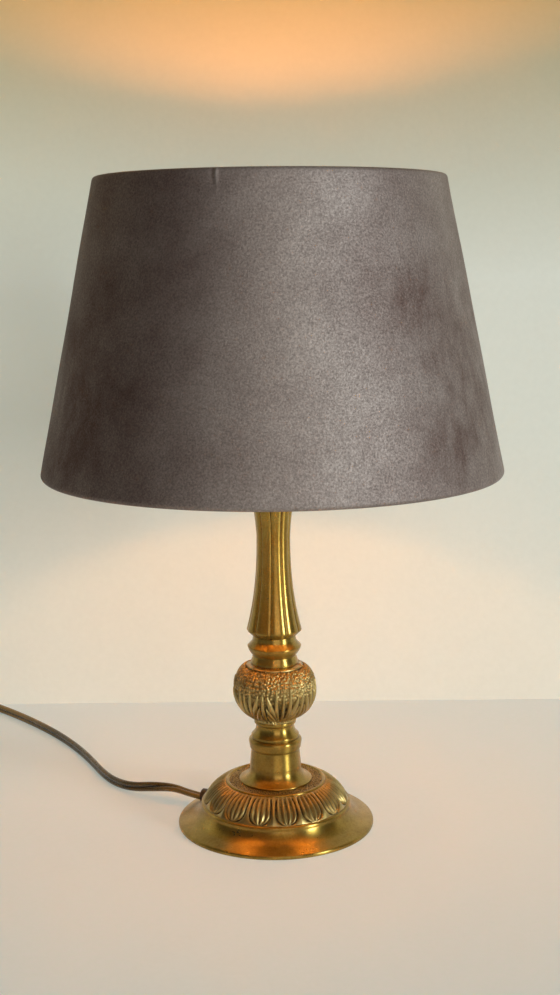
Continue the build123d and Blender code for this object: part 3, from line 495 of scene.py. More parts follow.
def new_material(name, **constants):
    """A material with one Principled shader; returns it with its tree, shader and object coordinates."""
    made = bpy.data.materials.new(name)
    made.use_nodes = True
    tree = made.node_tree
    shader = tree.nodes["Principled BSDF"]
    for key, value in constants.items():
        shader.inputs[key.replace("_", " ")].default_value = value
    return made, tree, shader, node(tree, "TexCoord").outputs["Object"]


def kept(build):
    """A kind of material that several pieces share: built the first time, found by its name later."""
    def found(name, *values, **settings):
        return bpy.data.materials.get(name) or build(name, *values, **settings)
    return found


def dimmed(paint, share):
    """A colour with each part of it lessened."""
    return tuple(part * share for part in paint)


@kept
def brass_material(name, colours, roughness, hollow, lines, grain, streak, pale, coat, coat_roughness):
    """Old lacquered brass: bright where rubbed, dull in blotches, dark in hollows, streaked if turned."""
    upright = 0.25
    made, tree, shader, place = new_material(name, Anisotropic=streak, Anisotropic_Rotation=upright,
                                             Coat_Roughness=coat_roughness)
    tone = placed_group(tree, mottle_group(), Blotches=75.0, Specks=900.0)
    dirt = placed_group(tree, recess_group(), Strength=hollow)["Hollow"]
    dulled = product(tree, tone["Tone"], 0.75)
    metal = blended(tree, dulled, tuple(colours.bright), tuple(colours.worn))
    metal = blended(tree, pale, metal, tuple(colours.rubbed))
    clean_rough = spread(tree, tone["Tone"], (0, 1), (roughness * 0.75, roughness * 1.3))
    turning = noise(tree, place, 60.0, stretch=(0.02, 0.02, 26.0))
    height = sum_of(tree, product(tree, turning, lines), product(tree, tone["Fine"], grain))
    wired(shader,
          Tangent=node(tree, "Tangent", direction_type="RADIAL", axis="Z").outputs[0],
          Base_Color=blended(tree, dirt, metal, tuple(colours.patina)),
          Roughness=sum_of(tree, clean_rough, product(tree, dirt, 0.3), clamp=True),
          Metallic=spread(tree, dirt, (0.2, 1.0), (1.0, 0.55)),
          Coat_Weight=spread(tree, dirt, (0.0, 0.6), (coat, 0.0)),
          Normal=bump_of(tree, height, strength=0.6, distance=0.00022))
    return made


def polished_brass(colours):
    """Turned brass, with an upright streak of light."""
    return brass_material("Polished brass", colours, roughness=0.33, hollow=0.9, lines=0.35, grain=0.10,
                          streak=0.85, pale=0.0, coat=0.25, coat_roughness=0.16)


def cast_brass(colours):
    """Cast brass: grained and paler, with deep dirt in its hollows."""
    return brass_material("Cast brass", colours, roughness=0.36, hollow=0.98, lines=0.0, grain=0.30,
                          streak=0.0, pale=0.24, coat=1.0, coat_roughness=0.26)


@kept
def plastic_material(name, base, dark, roughness, grain=0.3, coat=0.0):
    """Moulded plastic: a fine skin, dusty blotches, darker in places."""
    made, tree, shader, _ = new_material(name, Coat_Weight=coat, Coat_Roughness=0.25)
    tone = placed_group(tree, mottle_group(), Blotches=45.0, Specks=1800.0)
    wired(shader,
          Base_Color=blended(tree, tone["Tone"], dark, base),
          Roughness=spread(tree, tone["Tone"], (0, 1), (roughness * 1.25, roughness * 0.8)),
          Normal=bump_of(tree, tone["Fine"], strength=grain, distance=0.00012))
    return made


@kept
def plated_material(name, base, dark, roughness):
    """Plated metal with dull blotches and fine scratches."""
    made, tree, shader, place = new_material(name, Metallic=1.0)
    tone = placed_group(tree, mottle_group(), Blotches=130.0, Specks=1500.0)
    scratches = noise(tree, place, 300.0, detail=3.0, roughness=0.6, stretch=(1, 1, 14))
    wired(shader,
          Base_Color=blended(tree, tone["Tone"], base, dark),
          Roughness=spread(tree, tone["Tone"], (0, 1), (roughness * 0.7, roughness * 1.4)),
          Normal=bump_of(tree, scratches, strength=0.25, distance=0.0001))
    return made


def holder_plastic():
    """Dark brown plastic of the lampholder and its ring."""
    return plastic_material("Lampholder plastic", (0.050, 0.033, 0.022), (0.022, 0.015, 0.010), 0.3)


def bulb_metal():
    """Pale metal of the bulb's cap."""
    return plated_material("Bulb cap metal", (0.72, 0.70, 0.65), (0.48, 0.45, 0.40), 0.3)


def felt_material():
    """Dark green felt, matted fibres."""
    made, tree, shader, place = new_material("Felt", Roughness=0.95, Sheen_Weight=0.35)
    deep, pile = (0.018, 0.032, 0.018), (0.055, 0.085, 0.05)
    fibres = noise(tree, place, 1600.0, detail=4.0, roughness=0.7)
    wired(shader,
          Base_Color=blended(tree, spread(tree, fibres, (0.3, 0.7)), deep, pile),
          Normal=bump_of(tree, fibres, strength=0.7, distance=0.0004))
    return made


def velvet_material(settings):
    """Brushed velvet: a speckled satin nap, slow mottling, painted light on the side towards the front, soft
    brush marks and a pale crease.
    """
    made, tree, shader, place = new_material("Velvet", Metallic=0.72, Specular_IOR_Level=0.2)
    worn_rim, creased = (0.38, 0.31, 0.28), (0.50, 0.44, 0.41)
    tone = placed_group(tree, mottle_group(), Blotches=26.0, Specks=1150.0)
    strokes = noise(tree, place, 110.0, detail=3.0, roughness=0.65, stretch=(1, 1, 0.5))
    strokes = product(tree, spread(tree, strokes, (0.38, 0.70), (0.0, 0.24)), mark(tree, "brushed"))
    # Painted light: the velvet is lighter on the side towards the front, as well as where its nap runs light
    combed_and_painted_light = product(tree, mark(tree, "lay"), 0.62)
    lay = sum_of(tree, combed_and_painted_light, spread(tree, tone["Tone"], (0, 1), (0.0, 0.45)))
    lay = difference(tree, lay, strokes, clamp=True)
    cloth = blended(tree, lay, tuple(settings.nap_dark), tuple(settings.nap_light))
    nap = noise(tree, place, 950.0, roughness=0.7)
    speck = spread(tree, nap, (0.30, 0.70), (0.76, 1.24))
    grey = node(tree, "CombineColor", {"Red": speck, "Green": speck, "Blue": speck}).outputs[0]
    grained = blended(tree, 1.0, cloth, grey, "MULTIPLY")
    rubbed = blended(tree, product(tree, mark(tree, "rim"), 0.25), grained, worn_rim)
    wired(shader,
          Base_Color=blended(tree, mark(tree, "crease"), rubbed, creased),
          Roughness=spread(tree, nap, (0.3, 0.7), (0.72, 0.60)),
          Normal=bump_of(tree, nap, strength=0.45, distance=0.0004))
    return made


def lining_material(settings):
    """Stiff pale card lining with a faint fibre."""
    made, tree, shader, place = new_material("Lining", Specular_IOR_Level=0.2)
    base = tuple(settings.lining)
    fibre = noise(tree, place, 700.0, detail=3.0, roughness=0.6, stretch=(1, 1, 0.3))
    wired(shader,
          Base_Color=blended(tree, spread(tree, fibre, (0.3, 0.7)), dimmed(base, 0.86), base),
          Roughness=spread(tree, fibre, (0.3, 0.7), (0.75, 0.6)),
          Normal=bump_of(tree, fibre, strength=0.2, distance=0.0002))
    return made


def glass_material():
    """Thin clear glass with a trace of dust."""
    made, tree, shader, place = new_material("Bulb glass", Transmission_Weight=1.0, IOR=1.45)
    clean, dusty = (1.0, 0.98, 0.94), (0.97, 0.93, 0.86)
    dust = noise(tree, place, 90.0, detail=3.0)
    wired(shader,
          Base_Color=blended(tree, spread(tree, dust, (0.4, 0.8)), clean, dusty),
          Roughness=spread(tree, dust, (0.45, 0.75), (0.0, 0.12)))
    return made


def filament_material(settings):
    """A lit filament, hotter in places."""
    made, tree, shader, place = new_material("Lit filament", Emission_Strength=14.0, Roughness=0.6)
    hot = (1.0, 0.74, 0.42)
    heat = spread(tree, noise(tree, place, 900.0), (0.35, 0.65))
    glow = blended(tree, heat, tuple(settings.lit), hot)
    wired(shader, Emission_Color=glow, Base_Color=glow)
    return made


def flex_material(settings):
    """Old glossy insulation: golden, darker in its groove, in slow blotches and along a stretch near the
    foot.
    """
    made, tree, shader, _ = new_material("Flex insulation", Coat_Weight=0.2, Coat_Roughness=0.12)
    in_groove = (0.020, 0.013, 0.005)
    tone = placed_group(tree, mottle_group(), Blotches=30.0, Specks=1400.0)
    groove = placed_group(tree, recess_group(), Strength=1.0)["Hollow"]
    share = sum_of(tree, mark(tree, "aged"), product(tree, tone["Tone"], 0.45), clamp=True)
    skin = blended(tree, share, tuple(settings.amber), tuple(settings.dusk))
    wired(shader,
          Base_Color=blended(tree, groove, skin, in_groove),
          Roughness=spread(tree, tone["Tone"], (0, 1), (0.20, 0.32)),
          Normal=bump_of(tree, tone["Fine"], strength=0.15, distance=0.0001))
    return made


def plaster_material(name, base, glow, is_wall):
    """Pale paint that glows to the eye and in reflections; a wall has painted shade up high and painted light
    on its left, and is clear from behind.
    """
    made, tree, shader, place = new_material(name, Specular_IOR_Level=0.15)
    tone = placed_group(tree, mottle_group(), Blotches=7.0, Specks=260.0)
    paint = blended(tree, tone["Tone"], dimmed(base, 0.95), base)
    rays = node(tree, "LightPath").outputs
    eye = sum_of(tree, rays["Is Camera Ray"], rays["Is Glossy Ray"])
    eye = sum_of(tree, eye, rays["Is Transmission Ray"])
    if is_wall:
        # Painted shade: paint and glow grow darker and warmer up the wall.
        even, painted_shade_up_high = (1.0, 1.0, 1.0), (0.54, 0.46, 0.28)
        across, _, height = node(tree, "SeparateXYZ", {0: place}).outputs
        # Painted light: the glow is brighter on the left of the wall at mid height.
        painted_light_left = spread(tree, across, (-0.34, -0.04), (0.62, 0.0))
        painted_light_left = product(tree, painted_light_left, spread(tree, height, (0.14, 0.26)))
        eye = product(tree, eye, sum_of(tree, painted_light_left, 1.0))
        tint = blended(tree, spread(tree, height, (0.30, 0.48)), even, painted_shade_up_high)
        paint = blended(tree, 1.0, paint, tint, "MULTIPLY")
        glow = blended(tree, 1.0, glow, tint, "MULTIPLY")
    else:
        glow = (*glow, 1.0)
    wired(shader,
          Base_Color=paint,
          Roughness=spread(tree, tone["Fine"], (0.3, 0.7), (0.9, 0.75)),
          Normal=bump_of(tree, tone["Fine"], strength=0.12, distance=0.0006))
    glowing = node(tree, "Emission", {"Color": glow, "Strength": eye}).outputs[0]
    surface = node(tree, "AddShader", {0: shader.outputs[0], 1: glowing}).outputs[0]
    if is_wall:
        back = node(tree, "NewGeometry").outputs["Backfacing"]
        clear = node(tree, "BsdfTransparent").outputs[0]
        surface = node(tree, "MixShader", {0: back, 1: surface, 2: clear}).outputs[0]
    tree.links.new(surface, tree.nodes["Material Output"].inputs["Surface"])
    return made


# Pieces on the frame, and lights

def finished(made, body, material=None, replaced=()):
    """Gives a piece its material and body, and hides the CAD nodes that it stands for."""
    if material is not None:
        made.data.materials.clear()
        made.data.materials.append(material)
    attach(made, body)
    if replaced:
        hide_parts(*replaced)
    return made


def new_light(name, kind, **settings):
    """A light with its settings, linked to the scene."""
    data = bpy.data.lights.new(name, kind)
    for key, value in settings.items():
        setattr(data, key, value)
    made = bpy.data.objects.new(name, data)
    bpy.context.scene.collection.objects.link(made)
    return made


# Camera

class LAMP_OT_camera(bpy.types.Operator):
    """Place the camera at the photograph's viewing angle"""

    bl_idname = "lamp.camera"
    bl_label = "Camera"

    def execute(self, context):
        focal_pixels, tall_side = 1431.0, 995.0
        pitch_down, roll = 0.1689, -0.0092
        place = (0.0039, -0.76955, 0.31678)
        data = bpy.data.cameras.new("Camera")
        data.sensor_width = 36.0
        data.sensor_fit = "AUTO"
        data.lens = focal_pixels / tall_side * data.sensor_width
        data.clip_start = 0.01
        made = bpy.data.objects.new("Camera", data)
        aim = Euler((pi / 2 - pitch_down, 0.0, 0.0)).to_matrix() @ Matrix.Rotation(roll, 3, "Z")
        made.matrix_world = Matrix.Translation(place) @ aim.to_4x4()
        context.scene.collection.objects.link(made)
        context.scene.camera = made
        return {"FINISHED"}


# Flex

def flex_route():
    """Control points of the flex in metres: out of the foot, to the switch, round the coil, to the plug."""
    lead = [
        (-42.4, 20.2, 6.4), (-51, 24.3, 7.2), (-60, 28.6, 9.0), (-73, 35.6, 7.0), (-86, 42.5, 4.2),
        (-97, 53.5, 3.1), (-106, 68.5, 2.8), (-116, 91, 2.8), (-127, 113, 2.8), (-143, 139, 2.8),
        (-160, 161.5, 2.8), (-177, 181, 2.9), (-193, 197, 3.2), (-208, 208, 3.9), (-226, 211.5, 4.6),
        (-244, 206.5, 5.3), (-258, 194, 6.1), (-266.5, 178, 6.5), (-266.5, 162, 6.5),
    ]
    tail = [(-266.5, 120, 6.5), (-266.5, 107, 6.5), (-266.5, 93.6, 3.9), (-266.5, 81.6, 3.9)]
    end = [(-266.5, 59.4, 10.2), (-268, 46.4, 9.8), (-269.5, 33.4, 6.9), (-269.5, 19.0, 6.9)]
    coil_left, coil_y, lower_layer, climb = -266.5, 76.0, 3.9, 6.3
    outer_radius, inward_step, climbing = 43.0, 3.15, 6
    layers = (*range(climbing + 1), *range(climbing - 1, 0, -1))
    radii = [outer_radius - inward_step * layer for layer in layers]
    # The spline runs inside its control points, so these reach out past the turns
    steps, inside = 6, 0.966
    coil = [(coil_left, coil_y, lower_layer)]
    x, side = coil_left, 1
    for number, radius in enumerate(radii):
        centre = x + side * radius
        reach = radius / inside
        for step in range(1, steps + 1):
            angle = pi * step / steps
            climbed = 0 if number < climbing else climb
            if number == climbing:
                climbed = climb * step / steps
            coil.append((centre - side * reach * cos(angle), coil_y - side * reach * sin(angle),
                         lower_layer + climbed))
        x += 2 * side * radius
        side = -side
    return [tuple(part * MM for part in point) for point in lead + tail + coil + end]


def smooth_path(name, points):
    """Points along the NURBS spline that a route's control points guide."""
    data = bpy.data.curves.new(name, "CURVE")
    data.dimensions = "3D"
    spline = data.splines.new("NURBS")
    spline.points.add(len(points) - 1)
    for place, point in zip(spline.points, points):
        place.co = (*point, 1.0)
    spline.order_u = 3
    spline.use_endpoint_u = True
    spline.resolution_u = 10
    made = bpy.data.objects.new(name, data)
    bpy.context.scene.collection.objects.link(made)
    bpy.context.view_layer.update()
    line = bpy.data.meshes.new_from_object(made.evaluated_get(bpy.context.evaluated_depsgraph_get()))
    path = np.array([vertex.co for vertex in line.vertices])
    bpy.data.meshes.remove(line)
    bpy.data.objects.remove(made)
    bpy.data.curves.remove(data)
    return path


def twin_section(wide, thick, count=32):
    """Outline of two cores side by side: (across, through) points, and how deep each lies in the groove."""
    core, web = thick / 2, thick * 0.24
    apart = wide / 2 - core
    angle = np.linspace(0, tau, count, endpoint=False)
    across = wide / 2 * np.cos(angle)
    from_core = np.abs(across) - apart
    through = np.sqrt(np.maximum(core ** 2 - from_core ** 2, 0))
    through = np.where(from_core < 0, np.maximum(web, through), through)
    groove = bump(across, 0.0, wide * 0.10)
    return np.stack([across, np.sign(np.sin(angle)) * through], axis=1), groove


class LAMP_OT_flex(bpy.types.Operator):
    """Lay the flex from the foot through the switch and its coil to the plug"""

    bl_idname = "lamp.flex"
    bl_label = "Flex"

    def execute(self, context):
        settings = context.scene.lamp_flex
        flat_until, upright_from = 0.010, 0.048
        golden_from, golden_at = 0.14, 0.22
        route = flex_route()
        path = smooth_path("flex_route", route)
        run = runs_along(path)
        section, groove = twin_section(settings.wide, settings.thick)
        along = np.gradient(path, axis=0)
        along /= np.linalg.norm(along, axis=1)[:, None]
        side = np.cross(along, (0.0, 0.0, 1.0))
        side /= np.linalg.norm(side, axis=1)[:, None]
        over = np.cross(side, along)
        twist = (pi / 2 * (1 - rise(run, flat_until, upright_from)))[:, None]
        wide_axis = over * np.cos(twist) + side * np.sin(twist)
        thin_axis = side * np.cos(twist) - over * np.sin(twist)
        rings = (path[:, None] + section[None, :, :1] * wide_axis[:, None]
                 + section[None, :, 1:] * thin_axis[:, None])
        count = len(section)
        faces = grid_faces(len(path), count, False, True)
        faces += [list(range(count))[::-1], [len(path) * count - count + i for i in range(count)]]
        # Darker along a stretch near the foot, golden beyond
        aged = 0.15 + 0.75 * (1 - rise(run, golden_from, golden_at)) * rise(run, 0.0, 0.05)
        made = mesh_object("flex", rings.reshape(-1, 3), faces,
                           {"recess": np.tile(groove, len(path)), "aged": np.repeat(aged, count)})
        weld(made)
        finished(made, "lamp", flex_material(settings),
                 ("flex_lead", "flex_tail", "flex_coil", "flex_end"))
        return {"FINISHED"}


# Brass

def leaf_relief(height):
    """Relief of the foot's band: a leaf with raised rims and two ribs, its blunt point down between darts."""
    point, shoulder, widest = 0.02, 0.40, 0.73
    rib_at, rib_gap = 0.29, 0.57
    ground, least = 0.62, 1e-3

    def relief(u, v):
        down = 1 - np.clip((v - point) / (shoulder - point), 0, 1)
        half = widest * (1 - down ** 2.4) ** 0.55 * (1 - 0.10 * rise(v, 0.70, 0.95)) + least
        across = np.abs(u) / half
        inside = 1 - rise(across, 0.98, 1.10)
        ribs = 0.58 + 0.32 * np.cos(tau * (np.clip(across, 0, 1) - rib_at) / rib_gap)
        hood = 0.45 * bump(v, 0.86, 0.05) * (1 - rise(across, 0.5, 0.9))
        gap = np.maximum(1 - half * 1.12, least)
        from_middle = (1 - np.abs(u)) / gap
        dart = rise(gap, 0.10, 0.20) * (1 - rise(from_middle, 0.60, 0.95)) * (0.95 - 0.35 * from_middle)
        level = inside * np.maximum(ribs, hood) + (1 - inside) * np.maximum(dart, 0.02)
        level = np.maximum(level, 0.75 * (1 - rise(v, 0.0, 0.03)))
        level = np.maximum(level, 0.65 * rise(v, 0.90, 0.94))
        return (level - ground) * height, np.clip(1.1 - 1.6 * level, 0, 1)
    return relief


def stipple_relief(u, v):
    """Relief of the foot's grained land."""
    level = grains(u, v, 9, 7)
    return 0.40 * level - 0.15, np.clip(0.95 - 1.2 * level, 0, 1)


def palmette_relief(height):
    """Relief of one knop palmette: a stem between blades and barbs that lean out, under a grained ground."""
    half_sector, tall, ground = 11.9, 40.0, 0.70
    # Base x and y, tip x and y and half width in millimetres, then height as a share of the relief
    barbs = (
        (0.0, -1.0, 0.0, 26.5, 1.05, 1.00),
        (2.1, 0.5, 3.9, 29.0, 1.45, 0.96),
        (3.0, 7.5, 9.2, 24.0, 1.95, 0.98),
        (3.4, 3.0, 10.0, 17.0, 1.80, 0.92),
        (3.8, 0.0, 9.9, 11.0, 1.55, 0.88),
        (4.8, -1.5, 9.8, 5.8, 1.30, 0.84),
        (half_sector, 0.0, half_sector, 26.0, 1.50, 0.86),
    )

    def relief(u, v):
        x, y = np.abs(u) * half_sector, v * tall
        lobes = [np.full_like(x, 0.04)]
        for base_x, base_y, tip_x, tip_y, half, top in barbs:
            dx, dy = tip_x - base_x, tip_y - base_y
            span = hypot(dx, dy)
            t = np.clip(((x - base_x) * dx + (y - base_y) * dy) / span ** 2, 0, 1)
            bow = 0.8 * np.sin(t * pi) * (dx > 1)
            off = ((x - base_x) * dy - (y - base_y) * dx) / span - bow
            width = half * (0.6 + 0.4 * rise(t, 0.0, 0.5)) * (1 - t ** 3) ** 0.8 + 0.02
            side = np.clip(np.abs(off) / width, 0, 1)
            lobes.append(top * (1 - 0.45 * side ** 2) * (1 - rise(side, 0.8, 1.0)))
        second, level = np.sort(lobes, axis=0)[-2:]
        level = level - 0.45 * bump(level - second, 0.0, 0.07) * rise(second, 0.15, 0.35)
        grained = rise(y, 14.0, 25.0) * (1 - rise(y, 36.8, 37.8))
        level = np.maximum(level, grained * (0.40 + 0.45 * grains(u, v, 12, 21)))
        level = np.maximum(level, 0.75 * rise(y, 37.6, 38.4))
        level = np.maximum(level, 0.70 * (1 - rise(y, 0.9, 1.6)))
        return (level - ground) * height, np.clip(0.95 - 1.3 * level, 0, 1)
    return relief


def reed_relief(depth):
    """Relief of one column reed: a rounded face with a narrow cut at each side, deeper to the top."""
    def relief(u, v):
        side = np.abs(u)
        cut = 0.35 + 0.65 * rise(v, 0.45, 1.0)
        fall = depth * (0.75 * side ** 2.6 + 0.9 * cut * bump(side, 1.0, 0.085))
        return -fall, np.clip(cut * bump(side, 1.0, 0.11) + 0.15 * rise(v, 0.75, 1.0), 0, 1)
    return relief


def column_outline(bottom, top):
    """The column from its lip to its flared mouth, narrowest at the waist."""
    seat, lip, lip_at = 12.2, 15.4, 3.0
    waist, waist_at, mouth = 9.3, 55.0, 14.6
    rows = np.linspace(lip_at, top - bottom, 88)
    below = waist + (lip - waist) * np.clip((waist_at - rows) / (waist_at - lip_at), 0, 1) ** 2.3
    above = waist + (mouth - waist) * np.clip((rows - waist_at) / (rows[-1] - waist_at), 0, 1) ** 1.6
    flare = np.stack([np.where(rows < waist_at, below, above), rows + bottom], axis=1)
    return np.concatenate([outline([(seat, 0.0), (lip, lip_at)], spacing=0.4, lift=bottom)[:-1], flare])


def stem_turnings():
    """Steps of the stem's plain outlines, each counted up from its own underside."""
    bore = TUBE_BORE
    return {
        "lower_stem": [
            (bore, 0), (20.4, 0), (20.4, 0.9), (18.0, 1.9), (14.4, 8.6, -1.3), (13.5, 18.3), (14.2, 18.9),
            (14.8, 22.6), (14.1, 24.5, 0.3), (13.0, 24.7), (13.4, 25.4), (13.4, 26.6), (10.7, 32.6, -0.9),
            (11.7, 33.4), (11.7, 35.2), (bore, 35.2),
        ],
        "collar": [
            (bore, 0), (13.1, 0), (13.1, 1.3), (12.0, 5.0), (15.0, 10.2, 0.4), (12.2, 13.3, -0.15),
            (11.7, 16.2), (bore, 16.2),
        ],
        "pan": [
            (bore, 0), (11.6, 0), (18.0, 6.5, 1.4), (18.0, 7.9), (16.6, 7.9), (9.0, 6.3), (9.0, 11.0),
            (bore, 11.0),
        ],
    }


def foot_skirt():
    """The foot's flared skirt, its two bead lines and its inside."""
    return outline([
        (52.6, 0.0), (55.0, 0.0), (55.0, 1.7), (54.5, 2.2), (48.2, 4.3), (42.0, 10.7, -1.0),
        (40.6, 12.9, 0.9), (39.4, 11.9), (27.0, 23.2, 1.9), (28.2, 24.4), (26.2, 25.0, 0.8),
        (26.0, 24.5), (20.0, 24.5), (TUBE_BORE, 24.5), (TUBE_BORE, 22.8), (24.0, 22.0), (35.0, 12.5),
        (38.0, 9.5), (43.5, 3.5), (51.0, 1.6), (52.6, 1.2),
    ])


def foot_sectors(settings):
    """One leaf of the foot's band, and the grained land over it."""
    leaves, turned_by = settings.leaf_count, radians(9.3)
    band = relief_sector("foot_leaf_band", outline([(40.6, 12.9), (28.2, 24.4, 1.9)], spacing=0.3), leaves,
                         columns=56, relief=leaf_relief(settings.leaf_relief / MM),
                         middle=FRONT + turned_by, back=((26.9, 23.1), (39.3, 11.8)))
    land = relief_sector("foot_land", outline([(26.2, 24.8), (20.1, 24.8)], spacing=0.2), leaves,
                         columns=40, relief=stipple_relief,
                         middle=FRONT, back=((20.1, 24.3), (26.2, 24.3)))
    return band, land


def knop_sector(settings):
    """One leaf group of the knop, on its swelling outline."""
    bottom, top, turned_by = low("knop"), high("knop"), radians(12.5)
    steps = [(11.7, 0), (11.7, 1.8), (22.8, 19.0, 3.7), (14.0, 32.3, 2.7)]
    return relief_sector("knop_casting", outline(steps, spacing=0.28, lift=bottom), settings.palmette_count,
                         columns=110, relief=palmette_relief(settings.palmette_relief / MM),
                         middle=FRONT + turned_by, back=((TUBE_BORE, top), (TUBE_BORE, bottom)))


def column_sector(settings):
    """One reed of the column."""
    bottom, top, turned_by = low("column"), high("column"), radians(-8 + 180 / settings.reed_count)
    return relief_sector("column_casting", softened(column_outline(bottom, top), 1), settings.reed_count,
                         columns=28, relief=reed_relief(settings.reed_depth / MM),
                         middle=FRONT + turned_by, back=((TUBE_BORE, top), (TUBE_BORE, bottom)))


class LAMP_OT_foot(bpy.types.Operator):
    """Turn the foot's skirt, set its band of leaves and its grained land, and lay the felt under it"""

    bl_idname = "lamp.foot"
    bl_label = "Foot"

    def execute(self, context):
        settings = context.scene.lamp_brass
        skirt = turned("foot", softened(foot_skirt()), segments=240)
        finished(skirt, "lamp", polished_brass(settings), ("foot",))
        for sector in foot_sectors(settings):
            finished(repeated(sector, settings.leaf_count, cast_brass(settings)), "lamp")
        steps = [(0.0, 0.0), (52.2, 0.0), (52.45, 0.3), (52.45, 1.0), (0.0, 1.0)]
        disc = turned("felt_disc_cover", outline(steps, spacing=1.5), segments=160, ring=False)
        finished(disc, "lamp", felt_material(), ("felt_disc",))
        return {"FINISHED"}


class LAMP_OT_stem(bpy.types.Operator):
    """Turn the stem's plain pieces and cast its knop and its reeded column"""

    bl_idname = "lamp.stem"
    bl_label = "Stem"

    def execute(self, context):
        settings = context.scene.lamp_brass
        polished = polished_brass(settings)
        for name, steps in stem_turnings().items():
            shape = softened(outline(steps, spacing=0.3, lift=low(name)))
            finished(turned(name + "_turning", shape, segments=144), "lamp", polished, (name,))
        knop = repeated(knop_sector(settings), settings.palmette_count, cast_brass(settings))
        finished(knop, "lamp", None, ("knop",))
        column = repeated(column_sector(settings), settings.reed_count, polished)
        finished(column, "lamp", None, ("column",))
        return {"FINISHED"}


# Lampholder and bulb

def thread_relief(depth, turns):
    """Relief of a rounded screw thread that runs out at both ends."""
    def relief(u, v):
        ends = rise(v, 0.0, 0.08) * (1 - rise(v, 0.90, 1.0))
        wave = np.cos(tau * (turns * v) - pi * u)
        return depth * ends * (0.5 * wave - 0.5), 0.7 * ends * (0.5 - 0.5 * wave)
    return relief


def grip_relief(u, v):
    """Relief of one grip on the shade ring's rim and neck."""
    on_rim = bump(v, 0.33, 0.10) + 0.8 * bump(v, 0.70, 0.10)
    return 0.55 * on_rim * (bump(u, 0.0, 0.55) - 1.0), 0.5 * on_rim * np.abs(u)


def thread_sector():
    """The outer thread of the lampholder's skirt, over the shade ring."""
    crest, core = 13.9, 12.4
    start, end = high("shade_ring") + 0.2, high("holder_skirt") - 0.6
    return relief_sector("holder_thread", outline([(crest, start), (crest, end)], spacing=0.15), 1,
                         columns=120, relief=thread_relief(depth=0.6, turns=5),
                         middle=FRONT, back=((core, end), (core, start)))


def bulb_belly():
    """Height of the glass where it is widest, in millimetres."""
    above_cap = 25.0
    return high("bulb_cap") + above_cap


def bulb_glass():
    """The bulb's glass: a candle shape with a wall all round, thicker at its tip."""
    belly, tip = bulb_belly(), high("bulb_glass")
    wall, tip_wall = 0.7, 2.5
    steps = [(9.2, low("bulb_glass")), (17.5, belly, 2.2), (1.6, tip - 1.6, 3.6), (0.0, tip, 0.5)]
    outside = outline(steps, spacing=0.5)
    inside = outside - outward_normals(outside) * wall
    inside[:, 0] = np.maximum(inside[:, 0], 0.0)
    inside[-1] = (0.0, tip - tip_wall)
    return turned("bulb_glass_blown", np.concatenate([outside, inside[::-1]]), segments=96)


def bulb_cap():
    """The bulb's cap with its rolled thread."""
    bottom, top = low("bulb_cap"), high("bulb_cap")
    steps = [(4.2, 0.0), (6.3, 0.4), (6.95, 1.4), (6.95, 15.6), (7.4, 17.2), (9.3, top - bottom)]
    inside = ((8.8, top), (6.4, bottom + 16.5), (5.8, bottom + 1.2), (4.2, bottom + 0.5))
    return relief_sector("bulb_cap_rolled", outline(steps, spacing=0.25, lift=bottom), 1,
                         columns=90, relief=thread_relief(depth=1.0, turns=6.5), middle=FRONT, back=inside)


def light_bulb(settings):
    """Two lights that ride on the bulb: one all round, and a stronger and deeper one upward."""
    off_belly, soft, upward_share, deeper = 12.0, 0.012, 4.0, 1.35
    warm = tuple(settings.lit)
    all_round = new_light("Bulb light", "POINT", energy=settings.watts, color=warm, shadow_soft_size=soft)
    all_round.location = (0.0, 0.0, (bulb_belly() - off_belly) * MM)
    upward = new_light("Bulb light upward", "SPOT", energy=settings.watts * upward_share,
                       color=tuple(part ** deeper for part in warm), shadow_soft_size=soft,
                       spot_size=radians(150), spot_blend=0.3)
    upward.location = (0.0, 0.0, (bulb_belly() + off_belly) * MM)
    upward.rotation_euler = (pi, 0.0, 0.0)
    for light in (all_round, upward):
        light.parent = frame["bodies"]["bulb"]


class LAMP_OT_holder(bpy.types.Operator):
    """Thread the lampholder's skirt and give the shade ring its grips"""

    bl_idname = "lamp.holder"
    bl_label = "Lampholder"

    def execute(self, context):
        plastic, grips = holder_plastic(), 24
        screw = thread_sector()
        weld(screw, gap=1e-6)
        finished(screw, "lamp", plastic)
        steps = [(14.0, 0.0), (18.6, 0.0), (19.0, 0.4), (19.0, 1.6), (18.6, 2.0), (16.2, 2.0), (16.2, 8.2),
                 (15.8, 8.6), (14.0, 8.6)]
        ring = relief_sector("shade_ring_grips", outline(steps, spacing=0.2, lift=low("shade_ring")), grips,
                             columns=10, relief=grip_relief, middle=FRONT)
        finished(repeated(ring, grips, plastic), "shade_ring", None, ("shade_ring",))
        return {"FINISHED"}


class LAMP_OT_bulb(bpy.types.Operator):
    """Blow the bulb's glass, roll its screw cap and light it"""

    bl_idname = "lamp.bulb"
    bl_label = "Bulb"

    def execute(self, context):
        glass = finished(bulb_glass(), "bulb", glass_material(), ("bulb_glass",))
        glass.visible_shadow = False
        cap = bulb_cap()
        weld(cap, gap=1e-6)
        finished(cap, "bulb", bulb_metal(), ("bulb_cap",))
        light_bulb(context.scene.lamp_shade)
        return {"FINISHED"}


# Shade

